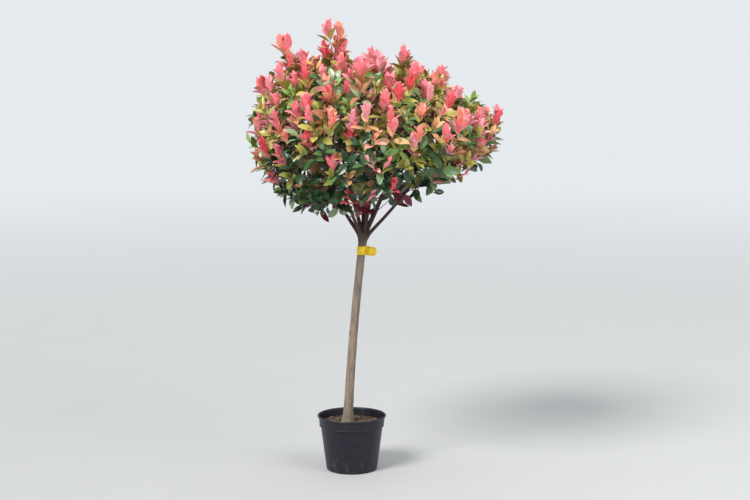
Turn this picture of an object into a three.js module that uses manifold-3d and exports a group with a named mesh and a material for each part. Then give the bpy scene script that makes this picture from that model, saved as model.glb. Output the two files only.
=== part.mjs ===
// A red-tipped photinia grown as a standard: one clear stem in a black nursery pot, a knuckle where the
// head was budded on, nine boughs that fan out of it, and a loose round head of leafy shoots. Millimetres,
// with Z up. The origin is the centre of the pot's underside, and the side that the head is seen from is
// towards -Y.

import * as THREE from "three";
import { mergeVertices } from "three/addons/utils/BufferGeometryUtils.js";
import Module from "manifold-3d";

// Driving sizes of the pot and its potting mix
const POT_HEIGHT = 240;
const POT_RIM_RADIUS = 150;
const POT_FOOT_RADIUS = 110;
const POT_WALL = 2.4;
const POT_COLLAR = 48;
const POT_COLLAR_STEP = 4.5;
const POT_LIP = 3.5;
const POT_HEEL = 5;
const POT_SIDES = 32;
const DRAIN_HOLES = 8;
const DRAIN_RADIUS = 7;
const DRAIN_RING = 84;
const DRAIN_SIDES = 8;
const MIX_HEIGHT = 206;
const MIX_RINGS = 3;
const MIX_ROUGHNESS = 4;
const MIX_DIP = 1.2;
const MIX_WAVE = 24;

// Driving sizes of the stem: it leans towards +X and bows a little on the way up
const STEM_FOOT = new THREE.Vector3(-18, 4, MIX_HEIGHT);
const STEM_HEIGHT = 828;
const STEM_LEAN = new THREE.Vector2(70, -8);
const STEM_BOW = 7;
const STEM_RADIUS = 19.5;
const STEM_TAPER = 3;
const ROOT_FLARE = 10;
const ROOT_FLARE_HEIGHT = 34;
const ROOT_RIDGES = 5;
const RIDGE_SHARE = 0.07;
const KNUCKLE_SWELL = 6;
const KNUCKLE_HEIGHT = 40;
const KNUCKLE_DOME = 19;
const STEM_SIDES = 12;
const STEM_RINGS = 12;

// The label is a blank plastic strip that goes round the stem under the knuckle, with its tail to the right
const LABEL_DROP = 92;
const LABEL_WIDTH = 38;
const LABEL_THICKNESS = 0.8;
const LABEL_TAIL = 54;
const LABEL_TURN = 0.35;

// The head is a superellipse turned about an upright axis, flat-domed above its widest level, and sheared
// more and more with height, so that its top slopes down towards +X. Its bottom rises that way. Heights are
// above the knuckle.
const HEAD_RADIUS = 520;
const HEAD_RISE = 300;
const HEAD_DROP = 350;
const HEAD_WAIST = 430;
const HEAD_OFFSET = 40;
const HEAD_SLOPE = 0.1;
const BOTTOM_LIFT = 180;
const DOME_POWER = 2.8;
const BOWL_POWER = 2.1;
const BOWL_SLACK = 40;

// Nine boughs in three tiers. Each carries one mass of foliage, whose space lies round its heart. Places
// are given as [distance from the head's axis, height].
const TIERS = [
  { name: "low", count: 4, bearing: 64, tip: [205, 195], heart: [330, 270], end: [385, 310], radius: 9 },
  { name: "high", count: 4, bearing: 16, tip: [140, 370], heart: [290, 520], end: [290, 590], radius: 8 },
  { name: "top", count: 1, bearing: 90, tip: [12, 420], heart: [0, 580], end: [-20, 650], radius: 8 },
];
const LOWEST_TIER = -27; // Where the lowest tier leaves the stem, above the top of the knuckle
const TIER_STEP = 17;
const BEARING_SHIFT = 7;
const BOUGH_TIP_RADIUS = 4.6;
const BOUGH_SAG = 0.04;
const BOUGH_SIDES = 6;
const BOUGH_STEPS = 6;
const COLLAR_LENGTH = 62;
const COLLAR_SWELL = 1.35;
const COLLAR_STEPS = 3;

// Shoots and leaves. The leaves are larger than life, because there are fewer of them.
const OUTER_SHOOTS = 89;
const INNER_SHOOTS = 9;
const INNER_REACH = 0.5;
const LOWEST_CLIMB = -62;
const LOW_UPTURN = 0.1;
const TOP_UPTURN = 2.2;
const RAGGED_DEPTH = 22;
const RAGGED_PACE = 2.7;
const MASS_STEM_RADIUS = 7.4;
const MASS_STEM_TIP_RADIUS = 5.4;
const MASS_STEM_BEND = 0.45;
const MASS_STEM_STEPS = 3;
const SHOOT_FOOT_RADIUS = 2.6;
const SHOOT_TIP_RADIUS = 2.1;
const SHOOT_LEAD = 0.5; // A shoot leaves its stem this share of the stem before it's level with its end
const SHOOT_SCATTER = 0.2;
const SHOOT_MARGIN = 0.06;
const SHOOT_BEND = 0.34;
const SHOOT_STEPS = 2;
const TWIG_SIDES = 3;
const LEAF = { length: 136, width: 78, thickness: 2.8, droop: 0.06, fold: 0.2, angle: 60 };
const TUFT_LEAF = { length: 112, width: 56, thickness: 2.6, droop: 0.04, fold: 0.24, angle: 27 };
const TUFT_LEAVES = 3;
const TUFT_STEP = 9;
const SIDE_LEAVES = 5;
const SIDE_START = 44;
const SIDE_STEP = 25;
const STEM_LEAF_STEP = 48;
const BARE_SHARE = 0.2;
const LEAF_SPREAD = 0.12;
const WIDEST_SHARE = 0.5;
const ROOT_SHARE = 0.15;

// The long shoots that stand above the dome: bearing and climb in degrees, and how far their tips pass the
// outline
const LONG_SHOOTS = [
  { bearing: 184, climb: 46, beyond: 110 },
  { bearing: 215, climb: 72, beyond: 185 },
  { bearing: 300, climb: 74, beyond: 90 },
  { bearing: 118, climb: 60, beyond: 80 },
  { bearing: 35, climb: 56, beyond: 85 },
  { bearing: -8, climb: 8, beyond: 40 },
];

const SHORT_EDGE = 0.2; // Joining leaves edges shorter than this, which are closed up
const SNAP = 0.01; // Corners nearer than this are one corner
const TOUCH = 0.3; // Pieces that rest on each other keep this gap
const SPACE_GAP = 3; // Half the gap between two neighbouring masses
const LIMB_GAP = 2; // Foliage stays this far from every limb
const FIRST_SEED = 61;

// A leaf that would touch something is tried again, turned round its twig and then smaller: [turn, share of
// its size]
const TURNS = [0, 0.4, -0.4];
const TRIES = [1, 0.75].flatMap((part) => TURNS.map((turn) => [turn, part]));
const GOLDEN_ANGLE = Math.PI * (3 - Math.sqrt(5));
const UP = new THREE.Vector3(0, 0, 1);

const wasm = await Module();
wasm.setup();

// A seeded random number from 0 to 1, the same on every run
function seeded(seed) {
  let state = seed >>> 0;
  return () => {
    state = (state + 0x6d2b79f5) >>> 0;
    let mixed = Math.imul(state ^ (state >>> 15), 1 | state);
    mixed = (mixed + Math.imul(mixed ^ (mixed >>> 7), 61 | mixed)) ^ mixed;
    return ((mixed ^ (mixed >>> 14)) >>> 0) / 4294967296;
  };
}

// A closed geometry as a solid, with its doubled vertices merged and its faces pointing out
function solidOf(geometry, snap = 1e-4) {
  const bare = geometry.index ? geometry.toNonIndexed() : geometry.clone();
  bare.deleteAttribute("normal");
  bare.deleteAttribute("uv");
  const merged = mergeVertices(bare, snap);
  const corners = merged.index.array;
  const kept = [];
  for (let i = 0; i < corners.length; i += 3) {
    const [a, b, c] = [corners[i], corners[i + 1], corners[i + 2]];
    if (a !== b && b !== c && c !== a) kept.push(a, b, c);
  }
  const vertProperties = merged.attributes.position.array;
  const closed = (faces) => new wasm.Manifold(
    new wasm.Mesh({ numProp: 3, vertProperties, triVerts: new Uint32Array(faces) }));
  const made = closed(kept);
  return made.volume() > 0 ? made : closed(kept.reverse());
}

// The largest body of a solid, without the short edges that joining leaves. A hollow that fusing sealed
// comes out as a body of its own, so it's filled, and loose scraps are dropped.
function mainBody(solid) {
  const tidy = solidOf(geometryOf(solid.simplify(SHORT_EDGE)), SNAP);
  return tidy.decompose().reduce((best, body) => (body.volume() > best.volume() ? body : best));
}

function boxOf(solid) {
  const { min, max } = solid.boundingBox();
  return new THREE.Box3(new THREE.Vector3(...min), new THREE.Vector3(...max));
}

function geometryOf(solid) {
  const mesh = solid.getMesh();
  return new THREE.BufferGeometry()
    .setAttribute("position", new THREE.BufferAttribute(mesh.vertProperties, 3))
    .setIndex(new THREE.BufferAttribute(mesh.triVerts, 1));
}

function meshOf(name, solid, material) {
  const geometry = geometryOf(mainBody(solid));
  geometry.computeVertexNormals();
  const mesh = new THREE.Mesh(geometry, material);
  mesh.name = name;
  return mesh;
}

// A profile of [radius, height] pairs turned about Z
function turnedProfile(profile, sides) {
  const points = profile.map(([radius, height]) => new THREE.Vector2(radius, height));
  return new THREE.LatheGeometry(points, sides).rotateX(Math.PI / 2);
}

// Moves each vertex of a geometry to where the rule puts it
function reshaped(geometry, rule) {
  const places = geometry.attributes.position;
  const point = new THREE.Vector3();
  for (let i = 0; i < places.count; i += 1) {
    point.fromBufferAttribute(places, i);
    rule(point);
    places.setXYZ(i, point.x, point.y, point.z);
  }
  return geometry;
}

// The directions of a curve at a share of its length: along it, and two across it that turn with it
function frameAt(curve, share) {
  const chord = curve.getPoint(1).sub(curve.getPoint(0)).normalize();
  const level = chord.cross(UP);
  const along = curve.getTangentAt(share);
  const side = level.addScaledVector(along, -along.dot(level)).normalize();
  return { along, side, over: side.clone().cross(along) };
}

// A tapering limb: a cylinder whose axis is bent onto the stretch of a curve from one share of it to another
function limb(curve, from, to, radiusAt, sides, steps) {
  return reshaped(new THREE.CylinderGeometry(1, 1, 1, sides, steps), (point) => {
    const share = from + (to - from) * (point.y + 0.5);
    const { side, over } = frameAt(curve, share);
    const place = curve.getPointAt(share);
    place.addScaledVector(side, point.x * radiusAt(share)).addScaledVector(over, point.z * radiusAt(share));
    point.copy(place);
  });
}

// A leaf of eight faces: an octahedron with two corners at its root, one above the other, one on its
// midrib, one at its tip and one at each edge. It's folded up along the midrib and droops to its tip.
function leafAt(root, along, facing, leaf, scale) {
  const upper = facing.clone().addScaledVector(along, -facing.dot(along)).normalize();
  const side = new THREE.Vector3().crossVectors(along, upper);
  const [length, halfWidth] = [leaf.length * scale, (leaf.width * scale) / 2];
  return reshaped(new THREE.OctahedronGeometry(1), (point) => {
    const [underRoot, atTip] = [point.z < -0.5, point.y > 0.5];
    const share = underRoot || point.y < -0.5 ? 0 : atTip ? 1 : WIDEST_SHARE;
    const thickness = (Math.abs(point.x) > 0.5 || atTip ? 0 : leaf.thickness) * (underRoot ? -0.5 : 0.5);
    const lift = Math.abs(point.x) * leaf.fold * halfWidth - leaf.droop * length * share ** 2 + thickness;
    const place = root.clone().addScaledVector(along, share * length);
    point.copy(place.addScaledVector(side, point.x * halfWidth).addScaledVector(upper, lift));
  });
}

// The pot's wall inside, as [radius, height] from the middle of its floor up to its rim
function potInside() {
  const underCollar = POT_HEIGHT - POT_COLLAR;
  const footRadius = POT_FOOT_RADIUS - POT_WALL;
  const topRadius = POT_RIM_RADIUS - POT_LIP - POT_WALL;
  const collarRadius = THREE.MathUtils.mapLinear(underCollar, 0, POT_HEIGHT, footRadius, topRadius);
  return [
    [0, POT_WALL],
    [footRadius - POT_HEEL, POT_WALL],
    [footRadius, POT_WALL + POT_HEEL],
    [collarRadius - POT_COLLAR_STEP, underCollar],
    [collarRadius, underCollar + POT_COLLAR_STEP],
    [topRadius, POT_HEIGHT],
  ];
}

function pot() {
  const inside = potInside();
  const outside = inside
    .slice(0, -1)
    .map(([radius, height]) => [radius && radius + POT_WALL, height - POT_WALL]);
  const lip = [
    [POT_RIM_RADIUS - POT_LIP, POT_HEIGHT - 2 * POT_LIP],
    [POT_RIM_RADIUS, POT_HEIGHT - 1.5 * POT_LIP],
    [POT_RIM_RADIUS, POT_HEIGHT - 0.5 * POT_LIP],
    [POT_RIM_RADIUS - 0.5 * POT_LIP, POT_HEIGHT],
  ];
  let shell = solidOf(turnedProfile([...outside, ...lip, ...inside.reverse()], POT_SIDES));
  for (let hole = 0; hole < DRAIN_HOLES; hole += 1) {
    const angle = (2 * Math.PI * hole) / DRAIN_HOLES;
    const drill = new THREE.CylinderGeometry(DRAIN_RADIUS, DRAIN_RADIUS, 6 * POT_WALL, DRAIN_SIDES)
      .rotateX(Math.PI / 2)
      .translate(DRAIN_RING * Math.cos(angle), DRAIN_RING * Math.sin(angle), 0);
    shell = shell.subtract(solidOf(drill));
  }
  return shell;
}

// The potting mix fills the pot to below its rim: level round the stem, and uneven further out
function pottingMix() {
  const below = potInside()
    .slice(0, -1)
    .map(([radius, height]) => [radius && radius - TOUCH, height + TOUCH]);
  const [edgeRadius] = below.at(-1);
  const levelRadius = STEM_RADIUS + ROOT_FLARE + 2 * Math.hypot(STEM_FOOT.x, STEM_FOOT.y);
  const rings = Array.from({ length: MIX_RINGS + 1 }, (_, ring) => (
    THREE.MathUtils.lerp(edgeRadius, levelRadius, ring / MIX_RINGS)
  ));
  const profile = [...below, ...rings.map((radius) => [radius, MIX_HEIGHT]), [0, MIX_HEIGHT]];
  const crumbled = (point) => {
    const radius = Math.hypot(point.x, point.y);
    const angle = Math.atan2(point.y, point.x);
    if (point.z < MIX_HEIGHT - TOUCH || radius < levelRadius + 1) return;
    const crumbs = Math.sin(3 * angle + radius / MIX_WAVE) * Math.cos(5 * angle - radius / MIX_WAVE);
    point.z += MIX_ROUGHNESS * crumbs - MIX_DIP;
  };
  return solidOf(reshaped(turnedProfile(profile, POT_SIDES), crumbled));
}

// The stem's centre at a height: it leans evenly, and bows out in the middle
function stemCentre(height) {
  const share = (height - STEM_FOOT.z) / STEM_HEIGHT;
  const bow = STEM_BOW * Math.sin(Math.PI * share);
  return new THREE.Vector3(
    STEM_FOOT.x + STEM_LEAN.x * share - bow,
    STEM_FOOT.y + STEM_LEAN.y * share + bow / 2,
    height,
  );
}

// The stem's radius at a height: an even taper, a root flare that dies away upwards, and the budded knuckle
function stemRadius(height) {
  const above = height - STEM_FOOT.z;
  const below = STEM_HEIGHT - above;
  const flare = ROOT_FLARE * Math.exp(-above / ROOT_FLARE_HEIGHT);
  const knuckle = KNUCKLE_SWELL * Math.exp(-((below / KNUCKLE_HEIGHT) ** 2));
  return STEM_RADIUS - (STEM_TAPER * above) / STEM_HEIGHT + flare + knuckle;
}

const HEAD_BASE = stemCentre(STEM_FOOT.z + STEM_HEIGHT);

// How much the head's lower half is raised at a height, and at a distance towards +X
function liftAt(x, height) {
  const lowness = 1 - (2 * height) / (HEAD_WAIST + HEAD_RISE);
  return (BOTTOM_LIFT * Math.max(0, x) * Math.max(0, lowness)) / HEAD_RADIUS;
}

// A place in the head from [distance from its axis, height] and a bearing in degrees
function inHead([radius, height], bearing) {
  const turn = THREE.MathUtils.degToRad(bearing);
  const x = radius * Math.cos(turn);
  const share = height / HEAD_WAIST;
  const rise = height - HEAD_SLOPE * share * x + liftAt(x, height);
  return new THREE.Vector3(x + HEAD_OFFSET * share, radius * Math.sin(turn), rise).add(HEAD_BASE);
}

// The head's outline, or a smaller one inside it, as [distance from its axis, height] at a climb in degrees
function outlineAt(climb, reach = 1) {
  const lift = THREE.MathUtils.degToRad(climb);
  const power = 2 / (climb > 0 ? DOME_POWER : BOWL_POWER);
  const rise = Math.sign(climb) * (climb > 0 ? HEAD_RISE : HEAD_DROP) * Math.abs(Math.sin(lift)) ** power;
  return [HEAD_RADIUS * reach * Math.cos(lift) ** power, HEAD_WAIST + reach * rise];
}

// True where a point is above the bowl that closes the head from below, or not far outside it
function aboveBowl(point) {
  const height = point.z - HEAD_BASE.z;
  const share = Math.max(0, (height - liftAt(point.x - HEAD_BASE.x, height)) / HEAD_WAIST);
  const radius = Math.hypot(point.x - HEAD_BASE.x - HEAD_OFFSET * share, point.y - HEAD_BASE.y);
  const out = (radius / (HEAD_RADIUS + BOWL_SLACK)) ** BOWL_POWER;
  const down = ((HEAD_WAIST * (1 - share)) / (HEAD_DROP + BOWL_SLACK)) ** BOWL_POWER;
  return share > 1 || out + down < 1;
}

// Each bough is one curve out of the knuckle, and the stem of its mass is the curve that goes on from its tip
function boughPlans() {
  return TIERS.flatMap((tier, level) => Array.from({ length: tier.count }, (_, index) => {
    const bearing = tier.bearing + (360 * index) / tier.count + BEARING_SHIFT * Math.sin(5 * index + level);
    const start = stemCentre(HEAD_BASE.z + LOWEST_TIER + TIER_STEP * level);
    const tip = inHead(tier.tip, bearing);
    const bend = start.clone().lerp(tip, 0.5).addScaledVector(UP, -BOUGH_SAG * start.distanceTo(tip));
    const curve = new THREE.QuadraticBezierCurve3(start, bend, tip);
    const length = curve.getLength();
    const end = inHead(tier.end, bearing);
    const onward = curve.getTangentAt(1);
    const stemStart = tip.clone().addScaledVector(onward, TOUCH);
    const stemBend = stemStart.clone().addScaledVector(onward, MASS_STEM_BEND * stemStart.distanceTo(end));
    return {
      name: tier.count > 1 ? tier.name + "_" + (index + 1) : tier.name,
      curve,
      collarShare: COLLAR_LENGTH / length,
      gapShare: TOUCH / length,
      radiusAt: (share) => THREE.MathUtils.lerp(tier.radius, BOUGH_TIP_RADIUS, share),
      heart: inHead(tier.heart, bearing),
      massStem: new THREE.QuadraticBezierCurve3(stemStart, stemBend, end),
    };
  }));
}

const PLANS = boughPlans();

// The stem up to its knuckle, with a short collar where each bough leaves it
function stem() {
  const rings = Array.from({ length: STEM_RINGS + 1 }, (_, ring) => {
    const above = (STEM_HEIGHT * (1 - Math.cos((Math.PI * ring) / STEM_RINGS))) / 2;
    return [stemRadius(STEM_FOOT.z + above), STEM_FOOT.z + TOUCH + above];
  });
  const [topRadius, topHeight] = rings.at(-1);
  const dome = [0.5, 1].map((share) => {
    const climb = (Math.PI / 2) * share;
    return [topRadius * Math.cos(climb), topHeight + KNUCKLE_DOME * Math.sin(climb)];
  });
  const bent = reshaped(turnedProfile([[0, rings[0][1]], ...rings, ...dome], STEM_SIDES), (point) => {
    const centre = stemCentre(point.z);
    const fade = Math.exp((STEM_FOOT.z - point.z) / ROOT_FLARE_HEIGHT);
    const ridge = 1 + RIDGE_SHARE * fade * Math.cos(ROOT_RIDGES * Math.atan2(point.y, point.x));
    point.set(centre.x + point.x * ridge, centre.y + point.y * ridge, point.z);
  });
  return PLANS.reduce((made, plan) => {
    const swelling = (share) => THREE.MathUtils.lerp(COLLAR_SWELL, 1, share / plan.collarShare);
    const radiusAt = (share) => plan.radiusAt(share) * swelling(share);
    return made.add(solidOf(limb(plan.curve, 0, plan.collarShare, radiusAt, BOUGH_SIDES, COLLAR_STEPS)));
  }, solidOf(bent));
}

// One bough from its collar to its tip, or a thicker one that keeps the foliage off it
function bough(plan, thicker = 0) {
  const from = plan.collarShare + plan.gapShare;
  const radiusAt = (share) => plan.radiusAt(share) + thicker;
  return solidOf(limb(plan.curve, from, 1, radiusAt, BOUGH_SIDES, BOUGH_STEPS));
}

// A thin strip: a band that follows the stem round, joined to a tail that stands out to the right
function label() {
  const low = STEM_FOOT.z + STEM_HEIGHT - LABEL_DROP;
  const high = low + LABEL_WIDTH;
  const inner = Math.max(stemRadius(low), stemRadius(high)) + 2 * TOUCH;
  const outer = inner + LABEL_THICKNESS;
  const section = [[inner, low], [outer, low], [outer, high], [inner, high], [inner, low]];
  const band = reshaped(turnedProfile(section, STEM_SIDES), (point) => {
    const centre = stemCentre(point.z);
    point.set(centre.x + point.x, centre.y + point.y, point.z);
  });
  const round = LABEL_WIDTH / 2;
  const outline = new THREE.Shape()
    .moveTo(0, 0)
    .lineTo(LABEL_TAIL - round, 0)
    .absarc(LABEL_TAIL - round, round, round, -Math.PI / 2, Math.PI / 2)
    .lineTo(0, LABEL_WIDTH)
    .closePath();
  const centre = stemCentre((low + high) / 2);
  const tail = new THREE.ExtrudeGeometry(outline, { depth: LABEL_THICKNESS, bevelEnabled: false })
    .rotateX(Math.PI / 2)
    .translate(inner + 2 * LABEL_THICKNESS, 0, 0)
    .rotateZ(-LABEL_TURN)
    .translate(centre.x, centre.y, low);
  return solidOf(band).add(solidOf(tail));
}

// True where a point lies in the space of one mass: nearer to its heart than to any other, less a gap
function inSpace(point, plan) {
  return PLANS.every((other) => {
    if (other === plan) return true;
    const towards = other.heart.clone().sub(plan.heart);
    const middle = plan.heart.clone().lerp(other.heart, 0.5);
    return point.clone().sub(middle).dot(towards.normalize()) < -SPACE_GAP;
  });
}

// True where every corner of a geometry lies in the space of one mass, and above the bowl
function staysIn(geometry, plan) {
  const places = geometry.attributes.position;
  const point = new THREE.Vector3();
  for (let i = 0; i < places.count; i += 1) {
    point.fromBufferAttribute(places, i);
    if (!inSpace(point, plan) || !aboveBowl(point)) return false;
  }
  return true;
}

// The way that a shoot points at its end: outwards from the head's axis, and the more up the higher it is
function shootHeading(end) {
  const share = (end.z - HEAD_BASE.z) / (HEAD_WAIST + HEAD_RISE);
  const outward = end.clone().sub(inHead([0, HEAD_WAIST], 0)).setZ(0).normalize();
  return outward.addScaledVector(UP, THREE.MathUtils.lerp(LOW_UPTURN, TOP_UPTURN, share)).normalize();
}

// Places over the head's outline, from its lowest climb to its top: each stands for the same area of it,
// and the golden angle turns each from the one before
function spreadOver(count, lowest, reach) {
  let whole = 0;
  const rings = Array.from({ length: 90 - lowest }, (_, degree) => {
    const [radius, height] = outlineAt(lowest + degree, reach);
    const [nextRadius, nextHeight] = outlineAt(lowest + degree + 1, reach);
    whole += radius * Math.hypot(nextRadius - radius, nextHeight - height);
    return { place: [radius, height], areaSoFar: whole };
  });
  return Array.from({ length: count }, (_, index) => {
    const ring = rings.find(({ areaSoFar }) => areaSoFar > (whole * (index + 0.5)) / count);
    return inHead(ring.place, THREE.MathUtils.radToDeg(GOLDEN_ANGLE * index));
  });
}

// Where the shoots end: short of the head's outline by the length of a tuft, over a smaller outline inside
// it, and past the outline at the long shoots
function shootEnds() {
  const tuftFrom = (end, beyond) => end.clone().addScaledVector(shootHeading(end), beyond - TUFT_LEAF.length);
  return [
    ...LONG_SHOOTS.map(({ bearing, climb, beyond }) => tuftFrom(inHead(outlineAt(climb), bearing), beyond)),
    ...spreadOver(OUTER_SHOOTS, LOWEST_CLIMB, 1).map((end, index) => (
      tuftFrom(end, -RAGGED_DEPTH * Math.sin(RAGGED_PACE * index))
    )),
    ...spreadOver(INNER_SHOOTS, LOWEST_CLIMB, INNER_REACH),
  ];
}

// A shoot leaves its mass's stem on the way to its end, and turns outwards and up as it gets there
function shootCurve(plan, end, random) {
  const stemFoot = plan.massStem.getPoint(0);
  const chord = plan.massStem.getPoint(1).sub(stemFoot);
  const level = end.clone().sub(stemFoot).dot(chord) / chord.lengthSq();
  const wanted = level - SHOOT_LEAD + SHOOT_SCATTER * random();
  const share = THREE.MathUtils.clamp(wanted, SHOOT_MARGIN, 1 - SHOOT_MARGIN);
  const start = plan.massStem.getPointAt(share);
  const bend = end.clone().addScaledVector(shootHeading(end), -SHOOT_BEND * start.distanceTo(end));
  return new THREE.QuadraticBezierCurve3(start, bend, end);
}

// The turn round a twig of the middle of one of its sides, which the leaves take one after another
function sideTurn(index) {
  return (Math.PI * (2 * index + 1)) / TWIG_SIDES;
}

// The places of the leaves on one shoot: a tuft at its tip, then a few down its side, and none near its foot
function leafPlaces(curve) {
  const length = curve.getLength();
  return Array.from({ length: TUFT_LEAVES + SIDE_LEAVES }, (_, index) => {
    const inTuft = index < TUFT_LEAVES;
    const below = inTuft ? TUFT_STEP * (index + 1) : SIDE_START + SIDE_STEP * (index - TUFT_LEAVES);
    return { share: 1 - below / length, turn: sideTurn(index), leaf: inTuft ? TUFT_LEAF : LEAF };
  }).filter(({ share }) => share > BARE_SHARE);
}

// The places of the leaves on a mass's own stem
function stemLeafPlaces(curve) {
  const count = Math.floor(curve.getLength() / STEM_LEAF_STEP);
  return Array.from({ length: count }, (_, index) => (
    { share: (index + 0.5) / count, turn: sideTurn(index), leaf: LEAF }
  ));
}

// One leaf on a shoot, turned round it by an angle, with its upper face towards the shoot's tip. The part
// beyond its root is made too, to test it against what stands near it.
function leafOn(curve, share, turn, leaf, scale) {
  const { along, side, over } = frameAt(curve, share);
  const slant = THREE.MathUtils.degToRad(leaf.angle);
  const outward = side.multiplyScalar(Math.sin(turn)).addScaledVector(over, Math.cos(turn));
  const direction = outward.multiplyScalar(Math.sin(slant)).addScaledVector(along, Math.cos(slant));
  const root = curve.getPointAt(share);
  const further = root.clone().addScaledVector(direction, ROOT_SHARE * leaf.length * scale);
  return {
    whole: leafAt(root, direction, along, leaf, scale),
    beyondRoot: leafAt(further, direction, along, leaf, scale * (1 - ROOT_SHARE)),
  };
}

// A mass of foliage: its stem, the shoots that end in its space, and the leaves on them. A shoot or leaf
// that would leave the space or touch a limb is skipped, and so is a leaf that would cross another each
// time it's tried.
function mass(plan, ends, guard, seed) {
  const random = seeded(seed);
  const fits = (geometry) => staysIn(geometry, plan) && solidOf(geometry).intersect(guard).isEmpty();
  const stemRadiusAt = (share) => THREE.MathUtils.lerp(MASS_STEM_RADIUS, MASS_STEM_TIP_RADIUS, share);
  const shootRadiusAt = (share) => THREE.MathUtils.lerp(SHOOT_FOOT_RADIUS, SHOOT_TIP_RADIUS, share);
  const shoot = (curve) => limb(curve, 0, 1, shootRadiusAt, TWIG_SIDES, SHOOT_STEPS);
  const curves = ends.map((end) => shootCurve(plan, end, random)).filter((curve) => fits(shoot(curve)));
  const pieces = [
    solidOf(limb(plan.massStem, 0, 1, stemRadiusAt, TWIG_SIDES, MASS_STEM_STEPS)),
    ...curves.map((curve) => solidOf(shoot(curve))),
  ];
  const taken = pieces.map((whole) => ({ whole, box: boxOf(whole) }));
  const grow = (curve, { share, turn, leaf }) => {
    const scale = 1 + LEAF_SPREAD * (2 * random() - 1);
    for (const [nudge, part] of TRIES) {
      const made = leafOn(curve, share, turn + nudge, leaf, scale * part);
      const [whole, beyondRoot] = [solidOf(made.whole), solidOf(made.beyondRoot)];
      const box = boxOf(whole);
      const crosses = (other) => box.intersectsBox(other.box) && (
        !beyondRoot.intersect(other.whole).isEmpty()
        || (other.beyondRoot && !whole.intersect(other.beyondRoot).isEmpty()));
      if (fits(made.whole) && !taken.some(crosses)) {
        pieces.push(whole);
        taken.push({ whole, beyondRoot, box });
        return;
      }
    }
  };
  for (const curve of curves) leafPlaces(curve).forEach((place) => grow(curve, place));
  stemLeafPlaces(plan.massStem).forEach((place) => grow(plan.massStem, place));
  return pieces.reduce((made, piece) => made.add(piece));
}

const black = new THREE.MeshStandardMaterial({ color: 0x17181d, roughness: 0.55, metalness: 0 });
const brownMix = new THREE.MeshStandardMaterial({ color: 0x4a3a2c, roughness: 1, metalness: 0 });
const bark = new THREE.MeshStandardMaterial({ color: 0x84705f, roughness: 0.85, metalness: 0 });
const youngBark = new THREE.MeshStandardMaterial({ color: 0x4c342d, roughness: 0.75, metalness: 0 });
const yellow = new THREE.MeshStandardMaterial({ color: 0xf2c41c, roughness: 0.45, metalness: 0 });
const greenLeaf = new THREE.MeshStandardMaterial({ color: 0x596b3c, roughness: 0.45, metalness: 0 });
const redLeaf = new THREE.MeshStandardMaterial({ color: 0xe98084, roughness: 0.5, metalness: 0 });

const guard = PLANS.reduce((made, plan) => made.add(bough(plan, LIMB_GAP)), stem());
const allEnds = shootEnds();

const plant = new THREE.Group();
plant.add(meshOf("pot", pot(), black));
plant.add(meshOf("potting_mix", pottingMix(), brownMix));
plant.add(meshOf("stem", stem(), bark));
plant.add(meshOf("label", label(), yellow));
PLANS.forEach((plan, index) => {
  const ends = allEnds.filter((end) => inSpace(end, plan));
  const colour = plan.name.startsWith("low") ? greenLeaf : redLeaf;
  plant.add(meshOf("bough_" + plan.name, bough(plan), youngBark));
  plant.add(meshOf("foliage_" + plan.name, mass(plan, ends, guard, FIRST_SEED + index), colour));
});

export default plant;
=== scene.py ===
# A red-tipped photinia grown as a standard: a round head of shoots on one clear stem, in a black nursery pot.
# Metres, with Z up. The origin is the centre of the pot's underside, and the camera looks along +Y.

import math

import bpy
import numpy as np
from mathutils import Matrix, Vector


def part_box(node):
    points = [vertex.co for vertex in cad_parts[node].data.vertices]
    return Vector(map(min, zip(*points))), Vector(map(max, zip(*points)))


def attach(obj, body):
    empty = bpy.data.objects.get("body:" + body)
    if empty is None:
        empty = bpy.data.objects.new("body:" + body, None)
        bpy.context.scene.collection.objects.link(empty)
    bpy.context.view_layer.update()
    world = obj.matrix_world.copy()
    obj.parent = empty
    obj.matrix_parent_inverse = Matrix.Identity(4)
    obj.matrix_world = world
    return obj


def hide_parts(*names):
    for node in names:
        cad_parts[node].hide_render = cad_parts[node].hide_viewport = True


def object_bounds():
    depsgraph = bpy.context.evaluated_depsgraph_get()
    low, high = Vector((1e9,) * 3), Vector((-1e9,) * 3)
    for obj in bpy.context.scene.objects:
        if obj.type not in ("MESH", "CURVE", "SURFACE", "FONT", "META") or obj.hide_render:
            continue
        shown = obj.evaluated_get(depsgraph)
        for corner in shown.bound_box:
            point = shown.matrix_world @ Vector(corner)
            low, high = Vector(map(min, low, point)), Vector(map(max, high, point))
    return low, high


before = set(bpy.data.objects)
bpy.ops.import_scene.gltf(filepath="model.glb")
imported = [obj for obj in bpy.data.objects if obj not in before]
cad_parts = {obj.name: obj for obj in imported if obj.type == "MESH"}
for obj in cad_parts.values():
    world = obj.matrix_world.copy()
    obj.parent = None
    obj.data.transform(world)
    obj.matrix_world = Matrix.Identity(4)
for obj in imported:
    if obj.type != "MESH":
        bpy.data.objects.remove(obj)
cad_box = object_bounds()

# The pot: injection-moulded in thin black polypropylene, with a stiff collar, a rolled lip and holes in its
# floor to drain it. It stands loose on its flat foot.

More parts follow.
